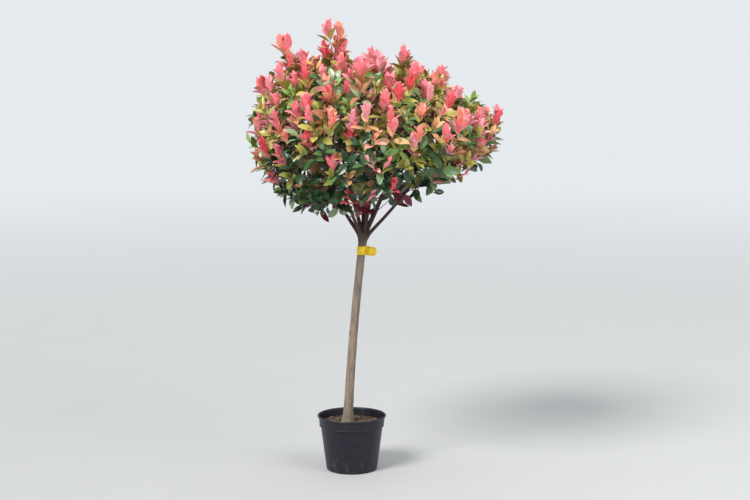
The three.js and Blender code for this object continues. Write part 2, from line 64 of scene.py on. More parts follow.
_, pot_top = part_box("pot")
RIM_RADIUS = pot_top.x
POT_HEIGHT = pot_top.z
FOOT_RADIUS = 0.11
POT_WALL = 0.0022
COLLAR_DROP = 0.048
COLLAR_STEP = 0.0045
COLLAR_LEDGE = 0.001
COLLAR_INSET = 0.001
COLLAR_FLARE = 0.006
COLLAR_STEPS = 24
WALL_STEPS = 14
LIP = 0.0035
LIP_ARC = (-105, 150)
LIP_STEPS = 14
HEEL = 0.005
BEAD_HEIGHT = 0.006
BEAD_DEPTH = 0.0016
POT_SIDES = 144
FOOT_RING = 0.5 * FOOT_RADIUS
DRAIN_HOLES = 8
DRAIN_RADIUS = 0.007
DRAIN_RING = 0.084
DRILL_REACH = 0.01
DRILL_SIDES = 24
POT_BLACK = (0.0040, 0.0045, 0.0105)
POT_DUST = (0.045, 0.042, 0.042)
DUST_HEIGHT = 0.11
POT_GRAIN = 0.00012
UP = np.array([0, 0, 1.0])


def mesh_piece(name, points, *faces):
    """A smooth mesh object from an array of points, and arrays of faces by their corners' places in it."""
    mesh = bpy.data.meshes.new(name)
    mesh.from_pydata(points.tolist(), [], [face for group in faces for face in group.tolist()])
    mesh.shade_smooth()
    piece = bpy.data.objects.new(name, mesh)
    bpy.context.scene.collection.objects.link(piece)
    return piece


def closed_rings(name, rings, first, last):
    """Closed tubes from rings (tube, step, place round it, xyz) that turn anticlockwise about the way along,
    with a pole at each end of each tube. Face j of step i joins places j and j + 1 of rings i and i + 1."""
    count, steps, around, _ = rings.shape
    points = np.concatenate([rings.reshape(count, -1, 3), first[:, None], last[:, None]], axis=1)
    start = np.arange(count)[:, None, None] * (steps * around + 2)
    place = np.arange(around)
    after = (place + 1) % around
    row = np.arange(steps - 1)[:, None] * around
    quads = np.stack([row + place, row + after, row + around + after, row + around + place], axis=-1)
    end = (steps - 1) * around
    poles = np.full(around, steps * around)
    fans = np.concatenate([
        np.stack([poles, after, place], axis=-1),
        np.stack([poles + 1, end + place, end + after], axis=-1),
    ])
    quads = start + quads.reshape(1, -1, 4)
    fans = start + fans[None]
    return mesh_piece(name, points.reshape(-1, 3), quads.reshape(-1, 4), fans.reshape(-1, 3))


def angles(count):
    """So many angles round a full turn, from 0."""
    return 2 * np.pi * np.arange(count) / count


def xyz(x, y, z):
    """An array of points from their coordinates."""
    return np.stack(np.broadcast_arrays(x, y, z), axis=-1)


def unit_ring(count):
    """Points round a circle of radius 1 in the plane of X and Y."""
    return xyz(np.cos(angles(count)), np.sin(angles(count)), 0)


def turned(name, profile, around, relief=None):
    """A profile of (radius, height) from the axis out, up and back to the axis, turned about Z. The relief, a
    function of the ring of points, moves them."""
    profile = np.array(profile)
    radius, height = profile[1:-1].T[..., None, None]
    rings = radius * unit_ring(around) + height * UP
    rings = rings if relief is None else relief(rings)
    first, last = np.array([[[0, 0, profile[0, 1]]], [[0, 0, profile[-1, 1]]]])
    return closed_rings(name, rings[None], first, last)


def arc(centre, radius, start, end, steps=6):
    """Points round part of a circle in the plane of a profile, between two angles in degrees."""
    angle = np.radians(np.linspace(start, end, steps))
    return [(centre[0] + radius * math.cos(a), centre[1] + radius * math.sin(a)) for a in angle]


def feed(tree, socket, value):
    """Links a wire to a socket, or sets the socket to a value."""
    if isinstance(value, Wire):
        tree.links.new(value.socket, socket)
    else:
        socket.default_value = (*value, 1) if socket.type == "RGBA" else value


class Wire:
    """A socket of a material, on which sums are written as expressions: each adds a Math node."""

    def __init__(self, tree, socket):
        self.tree, self.socket = tree, socket

    def sum_of(self, operation, first, second):
        node = self.tree.nodes.new("ShaderNodeMath")
        node.operation = operation
        feed(self.tree, node.inputs[0], first)
        feed(self.tree, node.inputs[1], second)
        return Wire(self.tree, node.outputs[0])

    def __add__(self, other):
        return self.sum_of("ADD", self, other)

    def __rsub__(self, other):
        return self.sum_of("SUBTRACT", other, self)

    def __mul__(self, other):
        return self.sum_of("MULTIPLY", self, other)


class Finish:
    """A material in the making: node() adds any node, and set() links or sets the surface's own sockets."""

    def __init__(self, name, **sockets):
        self.material = bpy.data.materials.new(name)
        self.material.use_nodes = True
        self.tree = self.material.node_tree
        self.surface = self.tree.nodes["Principled BSDF"]
        self.set(**sockets)

    def put(self, node, sockets):
        for name, value in sockets.items():
            feed(self.tree, node.inputs[name.replace("_", " ")], value)

    def node(self, kind, settings=None, output=0, **sockets):
        """One node: its settings first, and then the values or wires of its sockets. Gives one output."""
        node = self.tree.nodes.new("ShaderNode" + kind)
        for name, value in (settings or {}).items():
            setattr(node, name, value)
        self.put(node, sockets)
        return Wire(self.tree, node.outputs[output])

    def set(self, **sockets):
        self.put(self.surface, sockets)

    def place(self, stretch=(1, 1, 1)):
        """A place on the piece, stretched by a factor each way."""
        coordinates = self.node("TexCoord", output="Object")
        return self.node("Mapping", Vector=coordinates, Scale=stretch)

    def height(self):
        """The height above the ground."""
        return self.node("SeparateXYZ", output="Z", Vector=self.place())

    def noise(self, scale, detail=3.0, stretch=(1, 1, 1), roughness=0.5):
        """Cloudy noise from 0 to 1, with so many spots to a metre."""
        settings = {"Scale": scale, "Detail": detail, "Roughness": roughness}
        return self.node("TexNoise", Vector=self.place(stretch), **settings)

    def between(self, value, low, high):
        """0 below a low value, 1 above a high one, and smooth from one to the other."""
        settings = {"interpolation_type": "SMOOTHSTEP"}
        return self.node("MapRange", settings, Value=value, From_Min=low, From_Max=high)

    def blend(self, share, first, second):
        """A colour between two others: sockets 6 and 7 of a mix node, and its output 2, are for colours."""
        node = self.tree.nodes.new("ShaderNodeMix")
        node.data_type = "RGBA"
        for index, value in zip((0, 6, 7), (share, first, second)):
            feed(self.tree, node.inputs[index], value)
        return Wire(self.tree, node.outputs[2])

    def raised(self, height, depth, strength=1.0):
        """Turns a height from 0 to 1 into a relief so many metres deep."""
        self.set(Normal=self.node("Bump", Height=height, Distance=depth, Strength=strength))


def collar_points():
    """Up the collar: a half-round bead along its lower edge, and then a straight flare."""
    height = np.linspace(POT_HEIGHT - COLLAR_DROP, POT_HEIGHT - 2 * LIP, COLLAR_STEPS)
    bead = np.cos(np.clip((height - height[0] - BEAD_HEIGHT / 2) / BEAD_HEIGHT, -0.5, 0.5) * np.pi)
    flare = RIM_RADIUS - LIP - COLLAR_INSET - COLLAR_FLARE * (POT_HEIGHT - height) / COLLAR_DROP
    return list(zip(flare + BEAD_DEPTH * bead, height))


def wall_points():
    """Up the wall between the heel and the collar, in an even taper."""
    height = np.linspace(HEEL, POT_HEIGHT - COLLAR_DROP - COLLAR_LEDGE, WALL_STEPS)
    top = collar_points()[0][0] - COLLAR_STEP
    return list(zip(FOOT_RADIUS + (top - FOOT_RADIUS) * (height / height[-1]), height))


def inner_wall():
    """Down inside the collar and the wall, at the wall's thickness from the outside."""
    outside = wall_points()[1:] + collar_points()
    heel = arc((FOOT_RADIUS - HEEL, HEEL), HEEL - POT_WALL, 0, -90)
    return [(radius - POT_WALL, height) for radius, height in outside[::-1]] + heel


def pot_outline():
    """The wall's profile: under the floor, up outside over the heel and the collar, over the rolled lip, and
    down inside to the floor."""
    foot = [(0, 0), (FOOT_RING, 0)] + arc((FOOT_RADIUS - HEEL, HEEL), HEEL, -90, 0)
    lip = arc((RIM_RADIUS - LIP, POT_HEIGHT - LIP), LIP, *LIP_ARC, LIP_STEPS)
    floor = [(FOOT_RING, POT_WALL), (0, POT_WALL)]
    return foot + wall_points()[1:] + collar_points() + lip + inner_wall() + floor


def drilled(piece, drill):
    """The piece with its drills cut out of it, as a plain mesh."""
    cut = piece.modifiers.new("drill", "BOOLEAN")
    cut.operation = "DIFFERENCE"
    cut.solver = "EXACT"
    cut.object = drill
    shape = piece.evaluated_get(bpy.context.evaluated_depsgraph_get())
    piece.data = bpy.data.meshes.new_from_object(shape)
    piece.modifiers.clear()
    bpy.data.objects.remove(drill)
    return piece


def drills():
    """One upright rod through the floor at each drain hole."""
    centres = DRAIN_RING * unit_ring(DRAIN_HOLES)
    levels = np.array([-DRILL_REACH * UP, DRILL_REACH * UP])
    rings = centres[:, None, None] + levels[None, :, None] + DRAIN_RADIUS * unit_ring(DRILL_SIDES)
    return closed_rings("drills", rings, centres + levels[0], centres + levels[1])


def black_plastic():
    """Satin black plastic, with a fine grain, faint scuffs, and dust that lies thickest low on the wall."""
    finish = Finish("black_plastic", Specular_IOR_Level=0.4)
    splashes = finish.between(finish.noise(38, 6), 0.47, 0.68)
    low = 1 - finish.between(finish.height(), 0.0, DUST_HEIGHT)
    film = finish.between(finish.noise(9, 5), 0.3, 0.75)
    scuffs = finish.between(finish.noise(60, 4, (1, 1, 0.12)), 0.6, 0.75)
    dust = splashes * (low * 0.45 + 0.08) + film * 0.06 + scuffs * 0.06
    finish.set(Base_Color=finish.blend(dust, POT_BLACK, POT_DUST), Roughness=dust * 0.5 + 0.4)
    finish.raised(finish.noise(900, 2), POT_GRAIN, 0.5)
    return finish.material


pot = drilled(turned("nursery_pot", pot_outline(), POT_SIDES), drills())
pot.data.shade_smooth()
pot.data.materials.append(black_plastic())
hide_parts("pot")
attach(pot, "root")

# The potting mix: composted bark and peat that fills the pot to below its rim. Chips of bark lie loose on it,
# and it holds the roots.

MIX_LEVEL = 0.206
MIX_EDGE = 0.1365
MIX_FADE = 0.004
MIX_SHOULDER = 0.003
MIX_GAP = 0.0004
MIX_RINGS = 80
MIX_GRAIN = 0.0016
LUMP_LENGTHS = (0.07, 0.006)
LUMP_WAVES = 28
LUMP_HEIGHT = 0.00056
LUMP_POWER = 0.35
LUMP_SEED = 5
CHIPS = 900
CHIP_LENGTHS = (0.005, 0.017)
CHIP_WIDTHS = (0.3, 0.6)
CHIP_THICKNESSES = (0.0012, 0.0026)
CHIP_OUTLINE = (0.75, 1.2)
CHIP_SIDES = 6
CHIP_TILT = 0.22
CHIP_ROLL = 0.2
CHIP_INSET = 0.007
CHIP_REST = 0.0006
CHIP_SEED = 20
STEM_FOOT = np.array([-0.018, 0.004, MIX_LEVEL])
BARE_RADIUS = 0.026
MIX_BROWN = (0.036, 0.024, 0.017)
MIX_PALE = (0.12, 0.088, 0.064)
CHIP_COLOURS = {"dark": (0.05, 0.03, 0.02), "red": (0.13, 0.066, 0.04), "grey": (0.17, 0.135, 0.105)}


def swell(seed, wavelengths, amplitudes):
    """A rolling surface: the sum of waves in random directions, each with its own wavelength and height."""
    random = np.random.default_rng(seed)
    count = len(wavelengths)
    turn = random.uniform(0, 2 * np.pi, count)
    phase = random.uniform(0, 2 * np.pi, count)
    pace = 2 * np.pi / np.array(wavelengths)

    def height(x, y):
        way = x[..., None] * np.cos(turn) + y[..., None] * np.sin(turn)
        return (np.array(amplitudes) * np.sin(pace * way + phase)).sum(axis=-1)

    return height


lump_lengths = np.geomspace(*LUMP_LENGTHS, LUMP_WAVES)
mix_height = swell(LUMP_SEED, lump_lengths, LUMP_HEIGHT * (lump_lengths / LUMP_LENGTHS[0]) ** LUMP_POWER)


def mix_relief(rings):
    """Lumps on the top of the mix, which die away at the pot's wall."""
    radius = np.hypot(rings[..., 0], rings[..., 1])
    on_top = rings[..., 2] > MIX_LEVEL - MIX_SHOULDER / 2
    fade = np.clip((MIX_EDGE - radius) / MIX_FADE, 0, 1)
    rings[..., 2] += on_top * fade * mix_height(rings[..., 0], rings[..., 1])
    return rings


def mix_outline():
    """Out along the pot's floor, up inside its wall a hair clear of it, and in over the top."""
    wall = [point for point in inner_wall()[::-1] if point[1] < MIX_LEVEL - MIX_SHOULDER]
    side = [(radius - MIX_GAP, height + MIX_GAP) for radius, height in wall]
    top = [(MIX_EDGE * share, MIX_LEVEL) for share in np.linspace(1, 0.01, MIX_RINGS)]
    return [(0, POT_WALL + MIX_GAP)] + side + top + [(0, MIX_LEVEL)]


def crumbs():
    """Damp brown mix: dark peat between paler crumbs, with a rough relief."""
    finish = Finish("damp_mix", Roughness=0.95, Specular_IOR_Level=0.2)
    grain = finish.noise(240, 6, roughness=0.65)
    patches = finish.noise(28, 3)
    pale = finish.between(grain, 0.5, 0.72) * (patches * 0.9 + 0.1)
    finish.set(Base_Color=finish.blend(pale, MIX_BROWN, MIX_PALE))
    finish.raised(grain, MIX_GRAIN)
    return finish.material


mix = turned("damp_mix", mix_outline(), POT_SIDES, mix_relief)
mix.data.materials.append(crumbs())
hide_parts("potting_mix")
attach(mix, "root")


def unit(vectors):
    """The vectors at a length of 1."""
    return vectors / np.linalg.norm(vectors, axis=-1, keepdims=True)


def square_to(vectors, way):
    """The vectors less their part along a way, at a length of 1."""
    return unit(vectors - (vectors * way).sum(axis=-1, keepdims=True) * way)


def part_way(values, share):
    """From the first of two values, a share of the way to the second."""
    first, second = values
    return first + (second - first) * share


def chips(name, count, seed):
    """Flat splinters of bark. Each is a squashed ring of six places in two levels, turned about and laid on
    the mix, with its ends worn to points."""
    random = np.random.default_rng(seed)
    far = (MIX_EDGE - CHIP_INSET) * np.sqrt(random.uniform(0, 1, count))
    bearing = random.uniform(0, 2 * np.pi, count)
    centre = xyz(far * np.cos(bearing), far * np.sin(bearing), 0)
    centre = centre[np.hypot(*(centre - STEM_FOOT)[:, :2].T) > BARE_RADIUS]
    kept = len(centre)
    centre[:, 2] = MIX_LEVEL + mix_height(centre[:, 0], centre[:, 1]) + CHIP_REST
    length = random.uniform(*CHIP_LENGTHS, kept)
    width = length * random.uniform(*CHIP_WIDTHS, kept)
    thickness = random.uniform(*CHIP_THICKNESSES, kept)
    heading = random.uniform(0, 2 * np.pi, kept)
    tilt = random.normal(0, CHIP_TILT, kept)
    along = unit(xyz(np.cos(heading), np.sin(heading), tilt))
    across = unit(np.cross(UP, along) + random.normal(0, CHIP_ROLL, (kept, 3)))
    angle = angles(CHIP_SIDES)
    wobble = random.uniform(*CHIP_OUTLINE, (kept, CHIP_SIDES))
    flat = (
        along[:, None] * (np.cos(angle) * wobble * length[:, None] / 2)[..., None]
        + across[:, None] * (np.sin(angle) * wobble * width[:, None] / 2)[..., None]
    )
    lift = np.cross(along, across) * thickness[:, None] / 2
    levels = lift[:, None, None] * np.array([-1, 1])[None, :, None, None]
    rings = centre[:, None, None] + flat[:, None] + levels
    return closed_rings(name, rings, centre - lift, centre + lift)


for order, (tint, colour) in enumerate(CHIP_COLOURS.items()):
    loose = chips("bark_chips_" + tint, CHIPS // len(CHIP_COLOURS), CHIP_SEED + order)
    loose.data.materials.append(Finish("chip_" + tint, Base_Color=colour, Roughness=0.9).material)
    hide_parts("potting_mix")
    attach(loose, "root")

# The stem: one clear trunk of young grey-brown bark, with shallow furrows, lenticels, and healed scars where
# side shoots were cut off. It flares into its roots, and ends above in the knuckle where it was budded.

STEM_HEIGHT = 0.828
STEM_LEAN = np.array([0.070, -0.008])
STEM_BOW = 0.007
STEM_RADIUS = 0.0195
STEM_TAPER = 0.003
ROOT_FLARE = 0.010
ROOT_FLARE_HEIGHT = 0.034
ROOT_RIDGES = 5
KNUCKLE_SWELL = 0.006
KNUCKLE_HEIGHT = 0.040
KNUCKLE_DOME = 0.019
KNUCKLE_LUMPS = 0.0016
KNUCKLE_LUMPS_HEIGHT = 0.05
ROOT_RIDGE_DEPTH = 0.09
STEM_AROUND = 96
STEM_GRAIN = 0.0009
STEM_STEPS = 420
STEM_SUNK = 0.004
DOME_STEPS = 12
FURROW_DEPTH = 0.0007
FURROW_FADE = (1.25, 0.65)
FURROW_WAVES = 36
CRACK_DEPTH = 0.6
CRACK_WIDTH = 0.25
FURROW_SEED = 2
KNUCKLE_SEED = 3
SCARS = 9
SCAR_LEVELS = (0.12, 0.90)
SCAR_TURN = 2.4
SCAR_UNEVEN = 0.3
SCAR_RADIUS = 0.008
SCAR_STRETCH = 1.3
SCAR_RIM = 0.0017
DIMPLE_DEPTH = 0.0016
DIMPLE_SHARE = 0.45
BLOOM_HEIGHTS = (0.2, 0.42)
BARK_TAN = (0.246, 0.182, 0.135)
BARK_GREY = (0.143, 0.119, 0.102)
BARK_DARK = (0.06, 0.045, 0.037)
BARK_GREEN = (0.15, 0.16, 0.085)
YOUNG_WARM = (0.088, 0.042, 0.031)
YOUNG_GREY = (0.055, 0.037, 0.032)
YOUNG_DARK = (0.026, 0.015, 0.013)
YOUNG_BARK_HEIGHTS = (0.965, 1.09)


def stem_centre(above):
    """The stem's centre at a height above the mix: it leans evenly, and bows out in the middle."""
    share = above / STEM_HEIGHT
    bow = STEM_BOW * np.sin(np.pi * share)
    x = STEM_FOOT[0] + STEM_LEAN[0] * share - bow
    y = STEM_FOOT[1] + STEM_LEAN[1] * share + bow / 2
    return xyz(x, y, STEM_FOOT[2] + above)


def stem_radius(above):
    """An even taper, a flare that dies away upwards, and the swollen knuckle."""
    flare = ROOT_FLARE * np.exp(-above / ROOT_FLARE_HEIGHT)
    knuckle = KNUCKLE_SWELL * np.exp(-(((STEM_HEIGHT - above) / KNUCKLE_HEIGHT) ** 2))
    return STEM_RADIUS - STEM_TAPER * above / STEM_HEIGHT + flare + knuckle


def furrows(seed, angle, length, girth=14, stretch=60):
    """Bark relief from about -1 to 1, over the angle round a limb and the length along it: waves that go
    round a whole number of times and change slowly along it, with a crack wherever their sum is zero."""
    random = np.random.default_rng(seed)
    times = random.integers(girth // 3, girth * 2, FURROW_WAVES)
    along = random.normal(0, stretch, FURROW_WAVES)
    phase = random.uniform(0, 2 * np.pi, FURROW_WAVES)
    waves = sum(np.sin(t * angle + a * length + p) for t, a, p in zip(times, along, phase))
    waves = waves / math.sqrt(FURROW_WAVES / 2)
    return np.tanh(waves) - CRACK_DEPTH * np.exp(-((waves / CRACK_WIDTH) ** 2))


def scars(angle, above):
    """Healed stubs: a low rim round a dimple, spiralling up the stem."""
    order = np.arange(SCARS)
    share = (order + SCAR_UNEVEN * np.sin(7 * order)) / SCARS
    level = STEM_HEIGHT * part_way(SCAR_LEVELS, share)
    relief = np.zeros(np.broadcast(angle, above).shape)
    for z, turn in zip(level, SCAR_TURN * order):
        round_it = STEM_RADIUS * (np.mod(angle - turn + np.pi, 2 * np.pi) - np.pi)
        distance = np.hypot(round_it, (above - z) / SCAR_STRETCH) / SCAR_RADIUS
        relief += SCAR_RIM * np.exp(-(distance**2))
        relief -= DIMPLE_DEPTH * np.exp(-((distance / DIMPLE_SHARE) ** 2))
    return relief


def stem_rings():
    """Rings up the stem, then in over the dome of the knuckle."""
    angle = angles(STEM_AROUND)
    above = np.linspace(-STEM_SUNK, STEM_HEIGHT, STEM_STEPS)[:, None]
    ridge = 1 + ROOT_RIDGE_DEPTH * np.exp(-above / ROOT_FLARE_HEIGHT) * np.cos(ROOT_RIDGES * angle)
    lumps = KNUCKLE_LUMPS * np.exp(-(((STEM_HEIGHT - above) / KNUCKLE_LUMPS_HEIGHT) ** 2))
    depth = FURROW_DEPTH * part_way(FURROW_FADE, above / STEM_HEIGHT)
    fine, coarse = furrows(FURROW_SEED, angle, above), furrows(KNUCKLE_SEED, angle, above, 5, 70)
    relief = depth * fine + lumps * coarse + scars(angle, above)
    radius = stem_radius(above) * ridge + relief
    climb = np.linspace(0, np.pi / 2, DOME_STEPS + 2)[1:-1, None]
    level = np.concatenate([above, STEM_HEIGHT + KNUCKLE_DOME * np.sin(climb)])
    radius = np.concatenate([radius, radius[-1] * np.cos(climb)])
    return stem_centre(level) + radius[..., None] * unit_ring(STEM_AROUND)


def bark(name, depth):
    """Bark: streaks of warm and grey along the limb, dark furrows, short pale lenticels across it, and a
    green bloom of algae low down. Above the knuckle it turns to the darker, redder bark of the boughs."""
    finish = Finish(name, Roughness=0.85, Specular_IOR_Level=0.3)
    streaks = finish.noise(90, 5, (1, 1, 0.1))
    patches = finish.noise(16, 3, (1, 1, 0.4))
    cracks = finish.noise(330, 4, (1, 1, 0.14), 0.6)
    lenticels = finish.between(finish.noise(420, 1, (0.35, 0.35, 1.6)), 0.66, 0.74)
    height = finish.height()
    bloom = (1 - finish.between(height, *BLOOM_HEIGHTS)) * finish.between(finish.noise(26, 4), 0.42, 0.7)
    young = finish.between(height + patches * 0.08, *YOUNG_BARK_HEIGHTS)
    warm = finish.blend(young, BARK_TAN, YOUNG_WARM)
    grey = finish.blend(young, BARK_GREY, YOUNG_GREY)
    colour = finish.blend(finish.between(streaks * 0.5 + patches * 0.5, 0.4, 0.6), grey, warm)
    colour = finish.blend(bloom * 0.55, colour, BARK_GREEN)
    furrowed = (1 - finish.between(cracks, 0.3, 0.47)) * 0.75
    colour = finish.blend(furrowed, colour, finish.blend(young, BARK_DARK, YOUNG_DARK))
    colour = finish.blend(lenticels * 0.4, colour, warm)
    finish.set(Base_Color=colour)
    finish.raised(cracks * 0.8 + lenticels * 0.3, depth)
    return finish.material


rings = stem_rings()[None]
stem_top = stem_centre(STEM_HEIGHT + KNUCKLE_DOME)
stem = closed_rings("stem_bark", rings, rings[:, 0].mean(axis=1), stem_top[None])
stem.data.materials.append(bark("stem_bark", STEM_GRAIN))
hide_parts("stem")
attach(stem, "root")

# The label: a blank strip of yellow plastic, looped once round the stem under the knuckle and locked through
# itself, so that its tail stands out to the right.

LABEL_DROP = 0.092
LABEL_WIDTH = 0.038
LABEL_THICKNESS = 0.0007
LABEL_TAIL = 0.056
LABEL_GAP = 0.0027
LABEL_START = -0.35
LABEL_TURN = -0.35
LABEL_TURN_LENGTH = 0.02
LABEL_LOCK = 0.0016
LABEL_WAVE = 0.004
LABEL_WAVE_TURN = 0.8 * np.pi
LABEL_END = 0.002
LABEL_CURL = 0.0035
LABEL_CROWN = 0.0009
HOOP_STEPS = 90
TAIL_STEPS = 40
BEND_STEPS = 7
STRIP_LINES = 7
LABEL_YELLOW = (0.86, 0.60, 0.014)
LABEL_SHADE = (0.72, 0.43, 0.008)


def label_rings():
    """The strip's outline along its route: once round the stem, then out through a bend into the tail, where
    it curls and its end is round. Each ring goes down the strip's back, and up its slightly bulged front."""
    middle = STEM_HEIGHT - LABEL_DROP + LABEL_WIDTH / 2
    hoop = stem_radius(middle) + LABEL_GAP
    round_it = np.linspace(LABEL_START, LABEL_START + 2 * np.pi, HOOP_STEPS)
    tail = np.linspace(0, LABEL_TAIL, TAIL_STEPS)[1:]
    share = tail / LABEL_TAIL
    hoop_x, hoop_y = hoop * np.cos(round_it), hoop * np.sin(round_it)
    tail_y = hoop_y[-1] - LABEL_LOCK - LABEL_WAVE * np.sin(LABEL_WAVE_TURN * share)
    x, y = np.concatenate([hoop_x, hoop_x[-1] + tail]), np.concatenate([hoop_y, tail_y])
    evenly = np.full(BEND_STEPS, 1 / BEND_STEPS)
    x, y = [np.convolve(np.pad(line, BEND_STEPS // 2, mode="edge"), evenly, mode="valid") for line in (x, y)]
    turn = np.concatenate([0 * round_it, LABEL_TURN * np.minimum(1, tail / LABEL_TURN_LENGTH)])
    x, y = x * np.cos(turn) - y * np.sin(turn), x * np.sin(turn) + y * np.cos(turn)
    way = unit(np.stack([np.gradient(x), np.gradient(y)], axis=-1))
    out = xyz(way[:, 1], -way[:, 0], 0)[:, None]
    curl = LABEL_CURL * np.concatenate([0 * round_it, share**2])
    centre = stem_centre(middle) + xyz(x, y, -curl)
    left = np.concatenate([np.full(HOOP_STEPS, LABEL_TAIL), LABEL_TAIL - tail])
    past = np.maximum(0, 1 - left / (LABEL_WIDTH / 2))
    half = LABEL_WIDTH / 2 * np.sqrt(np.maximum(1 - past**2, LABEL_END))
    upright = np.linspace(-1, 1, STRIP_LINES)
    stem_way = np.array([STEM_LEAN[0] / STEM_HEIGHT, 0, 1])
    bulge = out * LABEL_CROWN * (1 - upright**2)[:, None]
    strip = centre[:, None] + half[:, None, None] * upright[:, None] * stem_way + bulge
    thick = out * LABEL_THICKNESS / 2
    return np.concatenate([(strip - thick)[:, ::-1], strip + thick], axis=1)


def yellow_plastic():
    """Bright yellow plastic film: a little uneven in depth, satin, and slightly rippled."""
    finish = Finish("yellow_plastic", Specular_IOR_Level=0.5)
    shaded = finish.between(finish.noise(45, 3), 0.35, 0.7)
    colour = finish.blend(shaded, LABEL_YELLOW, LABEL_SHADE)
    finish.set(Base_Color=colour, Roughness=finish.noise(120, 2) * 0.2 + 0.3)
    finish.raised(finish.noise(60, 2), 0.0004, 0.5)
    return finish.material


rings = label_rings()[None]
label = closed_rings("label_strip", rings, rings[:, 0].mean(axis=1), rings[:, -1].mean(axis=1))
label.data.materials.append(yellow_plastic())
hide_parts("label")
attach(label, "root")

# The boughs: nine limbs that fan out of the knuckle in three tiers, each in one growing sweep on into the
# mass of foliage that it carries. Their young bark is smooth and dark red-brown.

HEAD_RADIUS = 0.520
HEAD_RISE = 0.300
HEAD_DROP = 0.350
HEAD_WAIST = 0.430
HEAD_OFFSET = 0.040
HEAD_SLOPE = 0.1
BOTTOM_LIFT = 0.180
DOME_POWER = 2.8
BOWL_POWER = 2.1
TIERS = {
    "low": {"count": 4, "bearing": 64, "tip": (0.205, 0.195), "heart": (0.33, 0.27), "end": (0.385, 0.31)},
    "high": {"count": 4, "bearing": 16, "tip": (0.14, 0.37), "heart": (0.29, 0.52), "end": (0.29, 0.59)},
    "top": {"count": 1, "bearing": 90, "tip": (0.012, 0.42), "heart": (0.0, 0.58), "end": (-0.02, 0.65)},
}
LOWEST_TIER = -0.027
TIER_STEP = 0.017
BEARING_SHIFT = 7
BOUGH_RADIUS = 0.0088
BOUGH_TIP_RADIUS = 0.0046
MASS_STEM_TIP_RADIUS = 0.0024
BOUGH_SAG = 0.04
BOUGH_STEPS = 60
BOUGH_AROUND = 20
BOUGH_RELIEF = 0.045
BOUGH_GRAIN = 0.0005
BOUGH_SEED = 8
BOUGH_COLLAR = 0.012
BOUGH_COLLAR_LENGTH = 0.020
BOUGH_COLLAR_SWELL = 0.75
MASS_STEM_BEND = 0.45
MASS_STEM_STEPS = 40
head_base = stem_centre(STEM_HEIGHT)


def lift_at(x, height):
    """How much the head's lower half is raised at a height, and at a distance towards +X."""
    lowness = 1 - 2 * height / (HEAD_WAIST + HEAD_RISE)
    return BOTTOM_LIFT * np.maximum(x, 0) * np.maximum(lowness, 0) / HEAD_RADIUS


def in_head(radius, height, bearing):
    """A place in the head from its distance from the axis, its height above the knuckle and its bearing in
    degrees. The head leans, and slopes down to +X, the more the higher it is. Its bottom rises that way."""
    turn = np.radians(bearing)
    x = radius * np.cos(turn)
    share = height / HEAD_WAIST
    z = height - HEAD_SLOPE * share * x + lift_at(x, height)
    return head_base + xyz(x + HEAD_OFFSET * share, radius * np.sin(turn), z)


def curve(start, bend, end, steps):
    """Points along curves that leave each start for its bend and arrive at each end from it: the weights of
    the three are (1 - t) squared, 2t (1 - t) and t squared."""
    share = np.linspace(0, 1, steps)[:, None]
    start, bend, end = (np.asarray(place)[..., None, :] for place in (start, bend, end))
    return (1 - share) ** 2 * start + 2 * share * (1 - share) * bend + share**2 * end


def across(paths):
    """The directions along each path, and two across it that turn with it."""
    along = unit(np.gradient(paths, axis=-2))
    chord = unit(paths[..., -1:, :] - paths[..., :1, :])
    side = square_to(np.cross(chord, UP), along)
    return along, side, np.cross(along, side)


def tubes(name, paths, radii, around, relief=None):
    """Closed tubes round paths (tube, step, xyz) with a radius at each step. The relief is added to it."""
    along, side, over = across(paths)
    angle = angles(around)
    radius = radii[..., None] + (0 if relief is None else relief)
    ring = np.cos(angle)[:, None] * side[:, :, None] + np.sin(angle)[:, None] * over[:, :, None]
    rings = paths[:, :, None] + radius[..., None] * ring
    first = paths[:, 0] - along[:, 0] * radii[:, :1] / 2
    last = paths[:, -1] + along[:, -1] * radii[:, -1:] / 2
    return closed_rings(name, rings, first, last)


def bough_paths():
    """The route of each bough to its tip, and that of its mass's stem onward from there."""
    limbs, stems, hearts = [], [], []
    for level, tier in enumerate(TIERS.values()):
        for index in range(tier["count"]):
            shift = BEARING_SHIFT * math.sin(5 * index + level)
            bearing = tier["bearing"] + 360 * index / tier["count"] + shift
            start = stem_centre(STEM_HEIGHT + LOWEST_TIER + TIER_STEP * level)
            tip = in_head(*tier["tip"], bearing)
            end = in_head(*tier["end"], bearing)
            middle = (start + tip) / 2 - BOUGH_SAG * np.linalg.norm(tip - start) * UP
            bend = tip + MASS_STEM_BEND * np.linalg.norm(end - tip) * unit(tip - middle)
            limbs.append(curve(start, middle, tip, BOUGH_STEPS))
            stems.append(curve(tip, bend, end, MASS_STEM_STEPS))
            hearts.append(in_head(*tier["heart"], bearing))
    return np.array(limbs), np.array(stems), np.array(hearts)


limbs, mass_stems, hearts = bough_paths()
bough_routes = np.concatenate([limbs, mass_stems[:, 1:]], axis=1)
pace = np.linalg.norm(np.diff(bough_routes, axis=1, prepend=bough_routes[:, :1]), axis=-1)
reach = pace.cumsum(axis=1)
bough_taper = np.concatenate([
    np.linspace(BOUGH_RADIUS, BOUGH_TIP_RADIUS, BOUGH_STEPS),
    np.linspace(BOUGH_TIP_RADIUS, MASS_STEM_TIP_RADIUS, MASS_STEM_STEPS)[1:],
])
collar = BOUGH_COLLAR_SWELL * np.exp(-(((reach - BOUGH_COLLAR) / BOUGH_COLLAR_LENGTH) ** 2))
bough_radii = bough_taper * (1 + collar)
bough_furrows = furrows(BOUGH_SEED, angles(BOUGH_AROUND), reach[..., None], 5, 40)
bough_relief = BOUGH_RELIEF * bough_radii[..., None] * bough_furrows
boughs = tubes("boughs", bough_routes, bough_radii, BOUGH_AROUND, bough_relief)
